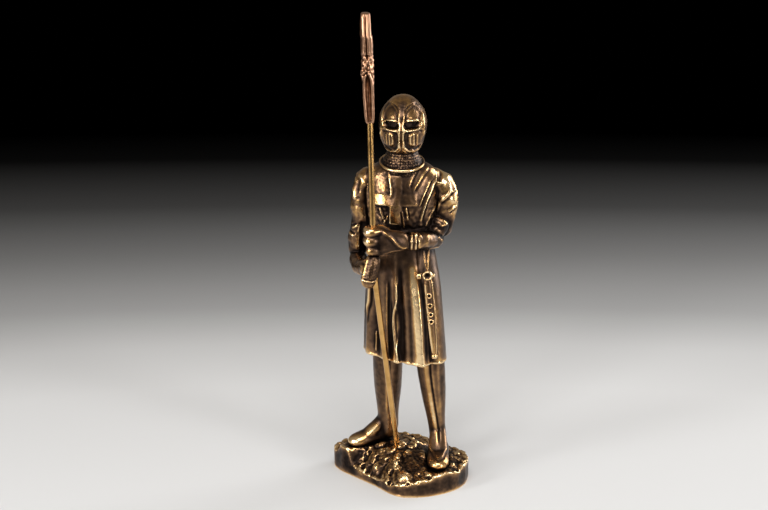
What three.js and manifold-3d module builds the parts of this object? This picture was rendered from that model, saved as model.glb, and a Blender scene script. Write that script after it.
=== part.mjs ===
// A small cast-brass knight in a closed helm, holding a spear upright, on a base of rough ground.
// Millimetres, +Z up. The knight faces -Y, and the origin is under the middle of the base.
import * as THREE from "three";
import { mergeVertices } from "three/addons/utils/BufferGeometryUtils.js";
import Module from "manifold-3d";

const wasm = await Module();
wasm.setup();

const at = (x, y, z) => new THREE.Vector3(x, y, z);
const { clamp, degToRad, lerp, smoothstep } = THREE.MathUtils;

// Driving sizes. Heights are measured from the underside of the base.
const GROUND = 12.2;
const HEM = 47.5;
const WAIST = 94;
const SHOULDER = 112;
const CHIN = 122.5;
const TIP = 173.8;
const WIRE_RADIUS = 1;
const SEAT_GAP = 0.3;
const HIP_TURN = degToRad(17);
const HEAD_TURN = degToRad(-6);

// The spear's wire: its foot in the ground, its bend in the right hand, and a point high on it.
const WIRE_FOOT = at(-1, 3.5, 9.4);
const WIRE_BEND = at(-9.4, -15.5, 83);
const WIRE_HIGH = at(-10.9, -15.5, 143);

// The middle of each sole, at the heel and at the toe, and the middle of each instep, from the shin.
const LEFT_SHOE = {
  heel: at(13.9, 8, 8.6),
  toe: at(13.1, -10.4, 7.4),
  instep: [at(13.3, 5.2, 24), at(13.3, 3.4, 18.6), at(13.3, -0.8, 13.2), at(13.2, -5.8, 10)],
};
const RIGHT_SHOE = {
  heel: at(-3, 13.6, 10.8),
  toe: at(-18.4, 8.6, 9.6),
  instep: [at(-4.8, 12, 24.5), at(-7, 11.4, 18.6), at(-10.8, 10.6, 14.6), at(-14.8, 9.6, 12.2)],
};

const TURN = Math.PI * 2;
const FRONT = at(0, -1, 0);
const UP = at(0, 0, 1);

// One soft ridge, or a groove where depth is negative, at an angle counted from the front in degrees.
function ridge(angle, [middle, spread, depth]) {
  const off = ((((angle * 360) / TURN - middle) % 360) + 540) % 360 - 180;
  return depth * Math.exp(-((off / spread) ** 2));
}

const ridges = (angle, list) => list.reduce((sum, one) => sum + ridge(angle, one), 0);

// A smooth curve through points, and the same for rows of plain numbers.
const smooth = (points, closed = false) => new THREE.CatmullRomCurve3(points, closed, "catmullrom", 0.5);
const smoothRows = (rows) => smooth(rows.map((row) => at(...row)));

// A closed skin. place(around, along) gives the point at an angle of the ring at along, which runs
// from 0 to 1, and the first and last rings close to a point.
function skin(sides, rings, place) {
  const shape = new THREE.SphereGeometry(1, sides, rings);
  const { position, uv } = shape.attributes;
  for (let i = 0; i < position.count; i++) {
    const row = Math.floor(i / (sides + 1));
    const closing = row === 0 || row === rings;
    const around = closing ? 0 : ((i % (sides + 1)) % sides) / sides;
    const point = place(around * TURN, 1 - uv.getY(i));
    position.setXYZ(i, point.x, point.y, point.z);
  }
  shape.deleteAttribute("normal");
  shape.deleteAttribute("uv");
  return shape;
}

// How far a skin with ends has opened out at t, which runs from 0 to 1. A high blunt is a square end.
const opening = (t, blunt) => Math.sqrt(Math.max(0, 1 - Math.abs(2 * t - 1) ** blunt));

// A limb, finger, fold or strap: ovals along a smooth line. Its half widths, across the way that it
// faces, and its half depths are given at the points of the line.
function limb({ line, width, depth = width, facing = FRONT, blunt = 8, sides = 10, rings = 8, fold }) {
  const axis = smooth(line);
  const half = smoothRows(width.map((w, i) => [w, depth[i], 0]));
  return skin(sides, rings, (around, along) => {
    const t = (1 - Math.cos(Math.PI * along)) / 2;
    const size = half.getPoint(t);
    const tangent = axis.getTangent(t);
    const across = tangent.clone().cross(facing).normalize();
    const outward = across.clone().cross(tangent).normalize();
    const more = fold ? fold(around, t) : 0;
    const swell = opening(t, blunt);
    return axis
      .getPoint(t)
      .addScaledVector(across, Math.sin(around) * (size.x + more) * swell)
      .addScaledVector(outward, Math.cos(around) * (size.y + more) * swell);
  });
}

// An upright trunk: ovals at heights. Each row of its profile is a height, a half width and a half
// depth, and middle(t) is where its oval stands.
function trunk({ rows, middle, sides, rings, blunt = 14, grow = 0, turn = 0, fold }) {
  const profile = smoothRows(rows);
  return skin(sides, rings, (around, along) => {
    const t = (1 - Math.cos(Math.PI * along)) / 2;
    const { x: height, y: wide, z: deep } = profile.getPoint(t);
    const more = grow + (fold ? fold(around, t) : 0);
    const swell = opening(t, blunt);
    const side = Math.sin(around) * (wide + more) * swell;
    const front = -Math.cos(around) * (deep + more) * swell;
    return at(side, front, height).applyAxisAngle(UP, turn).add(middle(t));
  });
}

// A geometry as a solid, turned right side out.
function solid(shape) {
  const bare = new THREE.BufferGeometry();
  bare.setAttribute("position", shape.getAttribute("position"));
  bare.setIndex(shape.index);
  const merged = mergeVertices(bare, 1e-4);
  const vertProperties = merged.attributes.position.array;
  const corners = new Uint32Array(merged.index.array);
  const build = (triVerts) => new wasm.Manifold(new wasm.Mesh({ numProp: 3, vertProperties, triVerts }));
  const made = build(corners);
  if (made.volume() > 0) return made;
  for (let i = 0; i < corners.length; i += 3) {
    [corners[i + 1], corners[i + 2]] = [corners[i + 2], corners[i + 1]];
  }
  return build(corners);
}

// A flat outline in X and Z, made into a block that runs along Y from front to back.
function block(outline, front, back) {
  const shape = new THREE.ExtrudeGeometry(outline, {
    depth: back - front,
    bevelEnabled: false,
    curveSegments: 6,
  });
  return shape.rotateX(Math.PI / 2).translate(0, back, 0);
}

// A round wire through points, mitred where it bends.
function wire(points, radius) {
  const rings = points.length + 1;
  const last = points.length - 1;
  const way = (i) => points[i + 1].clone().sub(points[i]).normalize();
  return skin(10, rings, (around, along) => {
    const row = Math.round(along * rings);
    const here = clamp(row - 1, 0, last);
    const tangent = way(Math.max(here - 1, 0)).add(way(Math.min(here, last - 1))).normalize();
    const across = tangent.clone().cross(FRONT).normalize();
    const outward = across.clone().cross(tangent);
    const size = row === 0 || row === rings ? 0 : radius;
    return points[here]
      .clone()
      .addScaledVector(across, Math.sin(around) * size)
      .addScaledVector(outward, Math.cos(around) * size);
  });
}

// The ground. Its outline runs from the front towards the knight's left, and ends where it began.
// Each point is X, Y and the height of the rim there.
const GROUND_MIDDLE = at(-1.5, 4, 0);
const GROUND_EDGE = [
  [1.5, -16.9, 4],
  [11, -15.5, 6.2],
  [19.6, -9.8, 6.4],
  [23.9, -1, 7.4],
  [22.6, 8.6, 7.4],
  [15, 14.6, 8],
  [4, 19.6, 10],
  [-10, 22, 9],
  [-20, 19.6, 7.4],
  [-24, 14, 7],
  [-21.2, 7.6, 4.6],
  [-13.8, -1, 2.2],
  [-8.6, -7.2, 2.2],
  [-3.8, -13.6, 3],
];

// The side rises upright to a share of the rim's height, and the rim lies a little way in.
const SIDE_HEIGHT = 0.75;
const RIM_INSET = 0.97;

// The bare hollow in front of the left shoe: its middle, half sizes and depth.
const BARE = { x: 4.2, y: -6, wide: 5.2, deep: 6.4, depth: 0.9 };
const STONES = 46;
const STONE_REACH = 26;
const STONE_SWING = 2.39996;

// Stones in a spiral scatter, as the height that they add to the ground.
function stones(x, y) {
  let highest = 0;
  for (let k = 0; k < STONES; k++) {
    const out = STONE_REACH * Math.sqrt((k + 0.5) / STONES);
    const size = 2.1 + 0.6 * Math.sin(k * 5.3);
    const away = Math.hypot(x - out * Math.sin(k * STONE_SWING), y - 2 - out * Math.cos(k * STONE_SWING));
    const rise = 1.3 + 0.6 * Math.sin(k * 3.1);
    highest = Math.max(highest, rise * Math.exp(-((away / size) ** 2)));
  }
  return highest;
}

// 1 in the middle of the bare hollow and 0 outside it.
const inBare = (x, y) =>
  1 - smoothstep(Math.hypot((x - BARE.x) / BARE.wide, (y - BARE.y) / BARE.deep), 0.6, 1.15);

// How much a point lies under a shoe: 1 under the sole and 0 beside it.
function underShoe(x, y, { heel, toe }) {
  const run = toe.clone().sub(heel).setZ(0);
  const share = clamp(at(x - heel.x, y - heel.y, 0).dot(run) / run.lengthSq(), 0, 1);
  const away = at(heel.x + run.x * share - x, heel.y + run.y * share - y, 0).length();
  return { share, cover: 1 - smoothstep(away, 3, 5.6) };
}

// Height of the ground at a point, between the rim, where spread is 1, and the middle.
function groundHeight(x, y, spread, rim) {
  const bare = inBare(x, y);
  const lumps = stones(x, y) * (1 - bare) - 0.4;
  const slope = lerp(GROUND, rim, spread ** 1.7);
  let height = slope + lumps * smoothstep(1 - spread, 0, 0.1) - BARE.depth * bare;
  for (const shoe of [LEFT_SHOE, RIGHT_SHOE]) {
    const { share, cover } = underShoe(x, y, shoe);
    height = lerp(height, lerp(shoe.heel.z, shoe.toe.z, share) + 0.2, cover);
  }
  return height;
}

// The base: one ring round its flat underside, one up its side, and the rest over its top.
function groundBase() {
  const edge = smooth(GROUND_EDGE.map((point) => at(...point)), true);
  const rings = 12;
  const topRing = 3;
  return skin(40, rings, (around, along) => {
    const rim = edge.getPoint((around / TURN) % 1);
    const row = Math.round(along * rings);
    const out = row < topRing ? Math.min(row, 1) : 1 - (row - topRing) / (rings - topRing);
    const spread = row < topRing ? out : out * RIM_INSET;
    const x = lerp(GROUND_MIDDLE.x, rim.x, spread);
    const y = lerp(GROUND_MIDDLE.y, rim.y, spread);
    if (row < topRing) return at(x, y, row === topRing - 1 ? rim.z * SIDE_HEIGHT : 0);
    return at(x, y, groundHeight(x, y, out, rim.z));
  });
}

// Legs in smooth greaves with a ridge down the shin, and round-toed shoes.
function leg(hip, ankle, width) {
  const down = (share, push) => hip.clone().lerp(ankle, share).add(at(0, push, 0));
  return limb({
    line: [hip, down(0.3, 0.7), down(0.6, 1.1), down(0.85, 0.3), ankle, ankle.clone().add(at(0, 0, -6))],
    width,
    fold: (around, t) => ridge(around, [0, 22, 0.5]) * smoothstep(t, 0.1, 0.3),
  });
}

// A shoe, and the instep that rises from it to the shin.
function shoe({ heel, toe, instep }) {
  const along = (share, lift) => heel.clone().lerp(toe, share).add(at(0, 0, lift));
  return [
    limb({
      line: [along(-0.05, 2.4), along(0.25, 3), along(0.55, 2.4), along(0.8, 1.8), along(1.04, 1.6)],
      width: [3, 3.7, 3.6, 3.7, 3.3],
      depth: [2.6, 3.8, 3.1, 2.7, 2.6],
      facing: UP,
      blunt: 4,
    }),
    limb({
      line: instep,
      width: [2, 2.8, 3.4, 3.2],
      depth: [1.2, 2.1, 2.3, 1.6],
      facing: UP,
      blunt: 4,
      sides: 8,
      rings: 6,
    }),
  ];
}

// The surcoat's skirt. Angles run from the front towards the knight's left.
const SKIRT_FOLDS = [
  [-48, 36, -2.2],
  [52, 24, 1.4],
  [-82, 9, 0.7],
  [-64, 8, -0.7],
  [-45, 8, 0.5],
  [-31, 7, -0.6],
  [-21, 5, 0.4],
  [-13.5, 4, 1],
  [-6, 5, -1.8],
  [24, 11, 1.2],
  [43, 5.5, -1.5],
];
const BACK_FOLDS = [108, 132, 156, 180, 204, 228, 252].map((middle, i) => [middle, 9, i % 2 ? -1 : 1]);
const SKIRT_TOP = { wide: 10.6, deep: 8.4, x: 0.2, y: 1.3 };
const SKIRT_HEM = { wide: 14.6, deep: 12, x: 1.5, y: 1.8 };
const HEM_TILT = 0.05;
const HEM_LIFT = 3;

function skirt() {
  const hemRing = 0.8;
  return skin(50, 10, (around, along) => {
    const down = Math.min(1, along / hemRing);
    const inside = Math.max(0, (along - hemRing) / (1 - hemRing));
    const spread = (0.55 * down + 0.45 * smoothstep(down, 0, 0.5)) ** 1.1;
    const wide = lerp(SKIRT_TOP.wide, SKIRT_HEM.wide, spread);
    const deep = lerp(SKIRT_TOP.deep, SKIRT_HEM.deep, spread);
    const angle = around - 0.3 * Math.sin(around);
    const turned = angle + HIP_TURN * smoothstep(down, 0.1, 0.6);
    const reach = 1 / Math.hypot(Math.cos(turned) / deep, Math.sin(turned) / wide);
    const fold = ridges(angle, SKIRT_FOLDS.concat(BACK_FOLDS)) * smoothstep(down, 0.12, 0.8);
    const out = along === 0 ? 0 : (reach + fold) * (1 - inside);
    const x = lerp(SKIRT_TOP.x, SKIRT_HEM.x, down) + Math.sin(angle) * out;
    const y = lerp(SKIRT_TOP.y, SKIRT_HEM.y, down) - Math.cos(angle) * out;
    const hem = HEM - x * HEM_TILT;
    return at(x, y, lerp(WAIST + 1, hem, down) + HEM_LIFT * inside);
  });
}

// The chest under its surcoat.
const CHEST = {
  rows: [
    [WAIST - 6, 10.4, 8.2],
    [WAIST, 10.6, 8.3],
    [SHOULDER - 14, 11.5, 8.9],
    [SHOULDER - 6, 12.4, 9.4],
    [SHOULDER + 0.6, 12.4, 8.6],
    [SHOULDER + 4, 11.2, 7.4],
    [SHOULDER + 7.2, 6.6, 5.8],
  ],
  middle: () => at(0.2, 1, 0),
  sides: 22,
  rings: 11,
};

// The point on the front of the chest at an X and a height.
function onChest(x, height) {
  const profile = smoothRows(CHEST.rows);
  let [low, high] = [0, 1];
  for (let i = 0; i < 24; i++) {
    const t = (low + high) / 2;
    if (profile.getPoint(t).x < height) low = t;
    else high = t;
  }
  const { y: wide, z: deep } = profile.getPoint(low);
  const middle = CHEST.middle();
  const out = Math.sqrt(Math.max(0, 1 - ((x - middle.x) / wide) ** 2));
  return at(x, middle.y - out * deep, height);
}

// Edges and folds of the surcoat on the chest, each as [X, height] from its top down.
const COAT_FOLDS = [
  { size: 0.9, line: [[12.2, 114.6], [10.6, 109.3], [8.9, 104.6], [6.8, 101], [5.1, 95]] },
  { size: 0.7, line: [[10, 112.4], [7.7, 109.7], [6.2, 106.8], [5.4, 102]] },
  { size: 0.8, line: [[-10.8, 114.6], [-11.7, 110], [-12.1, 104], [-11, 95]] },
  { size: 0.7, line: [[7.2, 116.4], [3.6, 114.8], [1.8, 113], [1, 109]] },
];

// Each fold is half sunk in the chest.
const coatFolds = () =>
  COAT_FOLDS.map(({ size, line }) =>
    limb({
      line: line.map(([x, height]) => onChest(x, height).add(at(0, size / 2, 0))),
      width: line.map(() => size),
      blunt: 4,
      sides: 6,
      rings: 6,
    }),
  );

// A broad cross on the chest, raised by a thin coat of metal.
const CROSS = { x: -1.9, z: 106.8, half: 2.05, reach: 7.3, rise: 8.6, coat: 0.7, front: -20, back: -3 };

function chestCross() {
  const { x, z, half, reach, rise } = CROSS;
  const corner = [
    [half, rise],
    [half, half],
    [reach, half],
  ];
  const quarters = [
    [1, 1, corner],
    [1, -1, corner.toReversed()],
    [-1, -1, corner],
    [-1, 1, corner.toReversed()],
  ];
  const points = quarters.flatMap(([across, up, list]) =>
    list.map(([u, w]) => new THREE.Vector2(x + across * u, z + up * w)),
  );
  const coat = solid(trunk({ ...CHEST, grow: CROSS.coat }));
  return coat.intersect(solid(block(new THREE.Shape(points), CROSS.front, CROSS.back)));
}

function belt() {
  const ring = new THREE.TorusGeometry(1, 0.08, 4, 18);
  return ring.scale(10.8, 8.6, 11).translate(0.2, 1.1, WAIST + 1);
}

// Neck mail, with a rolled edge round it.
function neck() {
  return trunk({
    rows: [
      [SHOULDER + 2, 9, 8],
      [SHOULDER + 5, 7.8, 7.7],
      [SHOULDER + 7.6, 6.4, 6.8],
      [CHIN, 5.2, 6.4],
      [CHIN + 4, 4.8, 6.2],
    ],
    middle: () => at(0.3, 0.6, 0),
    sides: 16,
    rings: 6,
  });
}

function collar() {
  const ring = new THREE.TorusGeometry(1, 0.07, 4, 20);
  return ring.scale(7.5, 8.1, 8).rotateX(degToRad(9)).translate(0.2, 0.4, SHOULDER + 6.3);
}

// The helm, with hollows that leave a broad-ended cross on its face. Each row is a rise above the
// chin, half width and half depth.
const HELM = {
  rows: [
    [-0.8, 5.4, 6.2],
    [1.4, 6.4, 7.8],
    [4.2, 7.4, 9],
    [8.6, 8.3, 9.7],
    [12, 8.1, 9.3],
    [14.4, 7.2, 8.4],
    [16.6, 5.6, 6.6],
    [18.3, 3.8, 4.6],
    [19.5, 1.9, 2.2],
  ],
  middle: (t) => at(0.5, 0.5 + 0.8 * t, CHIN),
  sides: 20,
  rings: 9,
  turn: HEAD_TURN,
  fold: (around) => ridge(around, [0, 14, 0.6]),
};
const HOLLOW_DEPTH = 0.9;
const [FACE_FRONT, FACE_BACK] = [-14, -3];
const HOLLOWS = [
  { x: 3.8, rise: 13.3, wide: 2.8, high: 3.9 },
  { x: 3.95, rise: 4.9, wide: 2.9, high: 3.6 },
];
const EYE = { inner: 1.3, outer: 6.3, rise: 10.7 };

function helm() {
  const turned = (shape) => shape.rotateZ(HEAD_TURN).translate(0.5, 0.5, CHIN);
  const oval = (x, z, wide, high) => new THREE.Shape().absellipse(x, z, wide, high, 0, TURN);
  const floor = solid(trunk({ ...HELM, grow: -HOLLOW_DEPTH }));
  let whole = solid(trunk(HELM));
  for (const side of [-1, 1]) {
    for (const { x, rise, wide, high } of HOLLOWS) {
      const hollow = turned(block(oval(side * x, rise, wide, high), FACE_FRONT, FACE_BACK));
      whole = whole.subtract(solid(hollow).subtract(floor));
    }
    const eye = [EYE.inner, (EYE.inner + EYE.outer) / 2, EYE.outer];
    const slit = limb({
      line: eye.map((x, i) => at(side * x, -9.4 + x * x * 0.08, EYE.rise + (i === 2 ? 0.3 : 0))),
      width: [0.8, 1, 0.7],
      depth: [1.5, 1.6, 1.5],
      blunt: 4,
      sides: 8,
      rings: 5,
    });
    whole = whole.subtract(solid(turned(slit)));
  }
  return whole;
}

// Sleeves, with creases that run round them.
function sleeve(line, width, depth, creases) {
  return limb({
    line,
    width,
    depth,
    rings: 10,
    fold: (around, t) => 0.5 * Math.sin(t * creases * Math.PI + 1.6 * Math.sin(around)),
  });
}

function leftArm() {
  const elbow = at(12.9, 3, 90.4);
  const wrist = at(4.6, -10.6, 93);
  return [
    sleeve(
      [at(8.6, 2.2, 113), at(12.2, 2.6, 111.2), at(15, 2.8, 107), at(14.7, 3.2, 98.6), elbow],
      [3.4, 4.2, 4.7, 4.5, 3.9],
      [4.2, 4.8, 4.9, 4.4, 4],
      7,
    ),
    sleeve(
      [elbow, at(9.6, -4.6, 91.6), wrist, at(-1, -13.2, 93.6)],
      [3.8, 3.3, 2.8, 2.7],
      [3.7, 3.3, 2.8, 2.6],
      3,
    ),
    limb({
      line: [wrist.clone().add(at(1, 1, 0)), wrist.clone().add(at(-1, -0.9, 0.1))],
      width: [3.2, 3.2],
      depth: [3.1, 3.1],
      blunt: 16,
      rings: 5,
    }),
  ];
}

function rightArm() {
  const elbow = at(-15.6, 4.4, 83.4);
  const shoulder = [at(-8.4, 2.2, 113.6), at(-11.6, 2.6, 112), at(-13.4, 2.8, 107)];
  return [
    sleeve(
      [...shoulder, at(-13.9, 3.2, 97), at(-15.2, 4, 89), at(-15.5, 4.4, 81.8)],
      [3.2, 3.8, 4, 3.7, 3.4, 3.2],
      [4.2, 4.8, 4.9, 4.4, 3.9, 3.5],
      7,
    ),
    sleeve([elbow, at(-14.2, -4.4, 82), at(-10.4, -13, 85)], [3.4, 3, 2.7], [3.2, 3.1, 2.9], 2),
  ];
}

// A point beside the wire above its bend, at a height.
function besideWire(x, y, height) {
  const share = (height - WIRE_BEND.z) / (WIRE_HIGH.z - WIRE_BEND.z);
  return WIRE_BEND.clone().lerp(WIRE_HIGH, share).add(at(x, y, 0));
}

// The left hand's fingers close round the wire from in front, one below the other, with the thumb
// over its top. Knuckles are the X and Z of each finger's outermost point.
const KNUCKLES = [
  [-13.3, 98],
  [-13.2, 95.8],
  [-12.8, 93.6],
  [-12.1, 91.5],
];

function finger([x, height]) {
  const pole = besideWire(0, 0, height);
  const out = x + 1.3;
  return limb({
    line: [
      pole.clone().add(at(1.6, -2.1, 0.2)),
      pole.clone().add(at(-0.6, -2.2, 0.1)),
      at(out, pole.y - 1, height),
      at(out + 0.3, pole.y + 1.2, height),
      pole.clone().add(at(0.2, 2.6, 0)),
    ],
    width: [1.2, 1.35, 1.4, 1.4, 1.2],
    facing: UP,
    blunt: 4,
    sides: 6,
    rings: 6,
  });
}

function leftHand() {
  return [
    ...KNUCKLES.map(finger),
    limb({
      line: [besideWire(0.4, 0.2, 98), besideWire(1, 0.2, 93), besideWire(1.2, 0.2, 89.4)],
      width: [2.7, 2.9, 2.2],
    }),
    limb({
      line: [at(2.4, -11.9, 93.4), at(-2, -14, 93.8), at(-6, -16, 94.2), at(-10, -16, 94.8)],
      width: [3.3, 4, 4.4, 4.2],
      depth: [3, 3, 2.7, 2.3],
      blunt: 6,
    }),
    limb({
      line: [at(-3.6, -14.2, 96.6), at(-6, -14.8, 98.2), at(-7.8, -15.4, 99.2), at(-9.1, -16.6, 98.6)],
      width: [1.8, 1.5, 1.25, 1],
      facing: UP,
      blunt: 3,
      sides: 8,
      rings: 5,
    }),
  ];
}

// The right hand hangs over the wire with its fingers down, in a mail mitten.
function rightHand() {
  return [
    limb({
      line: [at(-9.2, -15.4, 90), at(-10, -15.9, 86.4), at(-11.2, -16.2, 81.4), at(-11.5, -16, 77.8)],
      width: [2.3, 2.7, 2.7, 2.3],
      depth: [2.4, 2.9, 3, 2.5],
      blunt: 6,
    }),
    limb({
      line: [at(-8, -15.2, 88), at(-8.4, -16.8, 85), at(-9, -17.6, 82)],
      width: [1.1, 1.2, 1],
      facing: UP,
      blunt: 4,
      sides: 8,
      rings: 5,
    }),
  ];
}

// The sword at the left hip: two hangers that meet, guard with its boss, scabbard and chape.
const SWORD_TOP = at(9, -10.9, 80.6);
const SWORD_TIP = at(11.6, -11.4, 51);
const HANGER_JOIN = at(9, -10.2, 82.4);
const BOSS = { place: at(9, -11.3, 80.8), radius: 1.8, thick: 1.4 };

function sword() {
  const down = (share) => SWORD_TOP.clone().lerp(SWORD_TIP, share);
  const hangers = [7.9, 10.6].map((x) =>
    limb({
      line: [at(x, -8.2, 89), at(x * 0.6 + 3.4, -9.6, 85), HANGER_JOIN],
      width: [0.5, 0.5, 0.5],
      blunt: 4,
      sides: 6,
      rings: 5,
    }),
  );
  const boss = new THREE.CylinderGeometry(BOSS.radius, BOSS.radius, BOSS.thick, 10).rotateX(Math.PI / 2);
  const chape = new THREE.SphereGeometry(1.3, 7, 4);
  return [
    ...hangers,
    limb({
      line: [down(0), down(0.35), down(0.7), down(1)],
      width: [1.4, 1.4, 1.2, 0.8],
      depth: [1.2, 1.2, 1.2, 1.2],
      blunt: 12,
      sides: 8,
      rings: 6,
    }),
    limb({
      line: [at(5.5, -10.4, 80.4), at(9, -10.9, 80.7), at(11.6, -10.4, 80.6)],
      width: [0.75, 0.75, 0.75],
      blunt: 14,
      sides: 8,
      rings: 5,
    }),
    limb({
      line: [at(5.3, -10.9, 80.5), at(6.9, -11, 80.5)],
      width: [1.15, 1.15],
      blunt: 20,
      sides: 8,
      rings: 5,
    }),
    boss.translate(...BOSS.place),
    chape.translate(...down(1.03)),
  ];
}

// Room in the casting for the wire, with a small gap all round.
function wireRoom() {
  const up = WIRE_BEND.clone().sub(WIRE_FOOT).normalize();
  const low = WIRE_FOOT.clone().addScaledVector(up, -SEAT_GAP);
  return wire([low, WIRE_BEND, WIRE_HIGH], WIRE_RADIUS + SEAT_GAP);
}

function knight() {
  const shapes = [
    groundBase(),
    leg(at(9.6, 2, HEM + 6), at(13.4, 4.4, 15.5), [5.6, 5.1, 4.3, 3.2, 3.1, 3.5]),
    leg(at(-4.7, 6.4, HEM + 6), at(-4.5, 11.6, 17.8), [5.6, 5.4, 4.9, 3.9, 3.8, 3.8]),
    ...shoe(LEFT_SHOE),
    ...shoe(RIGHT_SHOE),
    skirt(),
    trunk(CHEST),
    ...coatFolds(),
    belt(),
    neck(),
    collar(),
    ...leftArm(),
    ...rightArm(),
    ...leftHand(),
    ...rightHand(),
    ...sword(),
  ];
  const figure = shapes.map(solid).reduce((all, one) => all.add(one)).add(chestCross()).add(helm());
  return figure.subtract(solid(wireRoom()));
}

// The spearhead: a thick blade with its edge to the front, a knuckle below it, and a round socket.
// Each row is the rise above the socket's mouth, half width and half depth.
const SPEAR_ROWS = [
  [0, 1.5, 1.5],
  [5, 1.7, 1.8],
  [10.8, 1.9, 2.1],
  [14.8, 2, 2.3],
  [17.4, 2.2, 3],
  [19.2, 2.1, 2.8],
  [21.4, 1.95, 2.6],
  [23.6, 1.8, 2.6],
  [24.8, 2.05, 3.4],
  [29.8, 2.05, 4],
  [30.8, 1.95, 4],
  [34.6, 1.8, 3.2],
  [37, 1.6, 2.4],
  [38.2, 1.4, 1.6],
];
const SOCKET_MOUTH = TIP - SPEAR_ROWS.at(-1)[0];
const SOCKET_DEPTH = 8;

function spearhead() {
  const foot = besideWire(0, 0, SOCKET_MOUTH);
  const blade = trunk({
    rows: SPEAR_ROWS,
    middle: (t) => foot.clone().add(at(-1.5 * t, 0, 0)),
    sides: 10,
    rings: 18,
    blunt: 60,
  });
  const outside = besideWire(0, 0, SOCKET_MOUTH - 2);
  const inside = besideWire(0, 0, SOCKET_MOUTH + SOCKET_DEPTH + SEAT_GAP);
  return solid(blade).subtract(solid(wire([outside, inside], WIRE_RADIUS + SEAT_GAP)));
}

const pole = () =>
  solid(wire([WIRE_FOOT, WIRE_BEND, besideWire(0, 0, SOCKET_MOUTH + SOCKET_DEPTH)], WIRE_RADIUS));

// The triangles of a casting's outer skin, without any bubble that its overlapping shapes close in.
function outerSkin({ vertProperties, triVerts }) {
  const group = Int32Array.from({ length: vertProperties.length / 3 }, (_, i) => i);
  const find = (i) => {
    while (group[i] !== i) i = group[i] = group[group[i]];
    return i;
  };
  for (let i = 0; i < triVerts.length; i += 3) {
    group[find(triVerts[i])] = find(triVerts[i + 1]);
    group[find(triVerts[i + 1])] = find(triVerts[i + 2]);
  }
  const sizes = new Map();
  for (const corner of triVerts) sizes.set(find(corner), (sizes.get(find(corner)) ?? 0) + 1);
  const [largest] = [...sizes].reduce((best, one) => (one[1] > best[1] ? one : best));
  return triVerts.filter((corner) => find(corner) === largest);
}

// A named mesh from a solid, in the colour of its metal.
function piece(name, made, color, roughness) {
  const raw = made.getMesh();
  const shape = new THREE.BufferGeometry();
  shape.setAttribute("position", new THREE.BufferAttribute(raw.vertProperties, 3));
  shape.setIndex(new THREE.BufferAttribute(outerSkin(raw), 1));
  shape.computeVertexNormals();
  const mesh = new THREE.Mesh(shape, new THREE.MeshStandardMaterial({ color, roughness, metalness: 1 }));
  mesh.name = name;
  return mesh;
}

const figurine = new THREE.Group();
figurine.add(piece("knight", knight(), "#8a6534", 0.38));
figurine.add(piece("pole", pole(), "#c09a55", 0.25));
figurine.add(piece("spearhead", spearhead(), "#8c5a38", 0.4));

export default figurine;
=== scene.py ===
import math

import bpy
import numpy as np
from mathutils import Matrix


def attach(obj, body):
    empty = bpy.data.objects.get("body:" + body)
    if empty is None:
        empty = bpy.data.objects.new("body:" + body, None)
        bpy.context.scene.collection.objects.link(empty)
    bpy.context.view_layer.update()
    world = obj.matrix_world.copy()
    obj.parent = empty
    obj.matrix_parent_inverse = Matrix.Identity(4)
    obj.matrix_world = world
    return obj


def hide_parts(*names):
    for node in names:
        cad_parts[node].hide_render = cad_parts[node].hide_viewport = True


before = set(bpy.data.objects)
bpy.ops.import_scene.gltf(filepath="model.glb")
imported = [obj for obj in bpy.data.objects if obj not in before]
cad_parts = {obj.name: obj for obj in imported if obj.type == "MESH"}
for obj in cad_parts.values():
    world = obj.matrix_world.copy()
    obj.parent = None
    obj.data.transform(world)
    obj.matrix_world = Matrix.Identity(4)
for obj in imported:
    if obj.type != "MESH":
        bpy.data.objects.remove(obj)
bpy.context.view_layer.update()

import openvdb
from mathutils import Vector, kdtree, noise

# A small cast-brass knight in a closed helm, holding a spear upright, on a base of rough ground.
# Shapes are worked out in millimetres, +Z up, with the knight facing -Y, and made in metres.
MM = 0.001
TURN = 2 * math.pi
FRONT = np.array([0.0, -1.0, 0.0])
UP = np.array([0.0, 0.0, 1.0])

# Driving sizes, as in the solid model. Heights are measured from the underside of the base.
GROUND = 12.2
HEM = 47.5
WAIST = 94.0
SHOULDER = 112.0
CHIN = 122.5
TIP = 173.8
WIRE_RADIUS = 1.0
HIP_TURN = math.radians(17)
HEAD_TURN = math.radians(-6)

# The spear's wire: its foot in the ground, its bend in the right hand, and a point high on it.
WIRE_FOOT = np.array([-1.0, 3.5, 9.4])
WIRE_BEND = np.array([-9.4, -15.5, 83.0])
WIRE_HIGH = np.array([-10.9, -15.5, 143.0])

# How far from its bend the wire curves, and the share of its skin that closes each end.
WIRE_CURVE = 1.2
WIRE_END = 0.01

# The middle of each sole, at the heel and at the toe.
LEFT_SHOE = ((13.9, 8, 8.6), (13.1, -10.4, 7.4))
RIGHT_SHOE = ((-3, 13.6, 10.8), (-18.4, 8.6, 9.6))

# The side of the small cubes that a casting's surface is worked out in.
COARSE = 0.27
FINE = 0.17


def at(x, y, z):
    return np.array([x, y, z], float)


def lerp(start, end, share):
    """What lies a share of the way from start to end."""
    return start + (end - start) * share


def smoothstep(value, low, high):
    """0 below low, 1 above high and a smooth climb between them. Where low is the higher one, it is
    1 below high and 0 above low."""
    share = np.clip((value - low) / (high - low), 0, 1)
    return share * share * (3 - 2 * share)


def unit(vectors):
    return vectors / np.linalg.norm(vectors, axis=-1, keepdims=True)


def ridge(angle, middle, spread, depth):
    """One soft ridge, or a groove where depth is below 0, at degrees counted from the front."""
    off = (np.degrees(angle) - middle + 180) % 360 - 180
    return depth * np.exp(-((off / spread) ** 2))


def ridge_at(value, middle, spread):
    """1 where the value is in the middle, falling to 0 on both sides of it."""
    return np.exp(-(((value - middle) / spread) ** 2))


def ridges(angle, rows):
    return sum(ridge(angle, *row) for row in rows)


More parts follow.
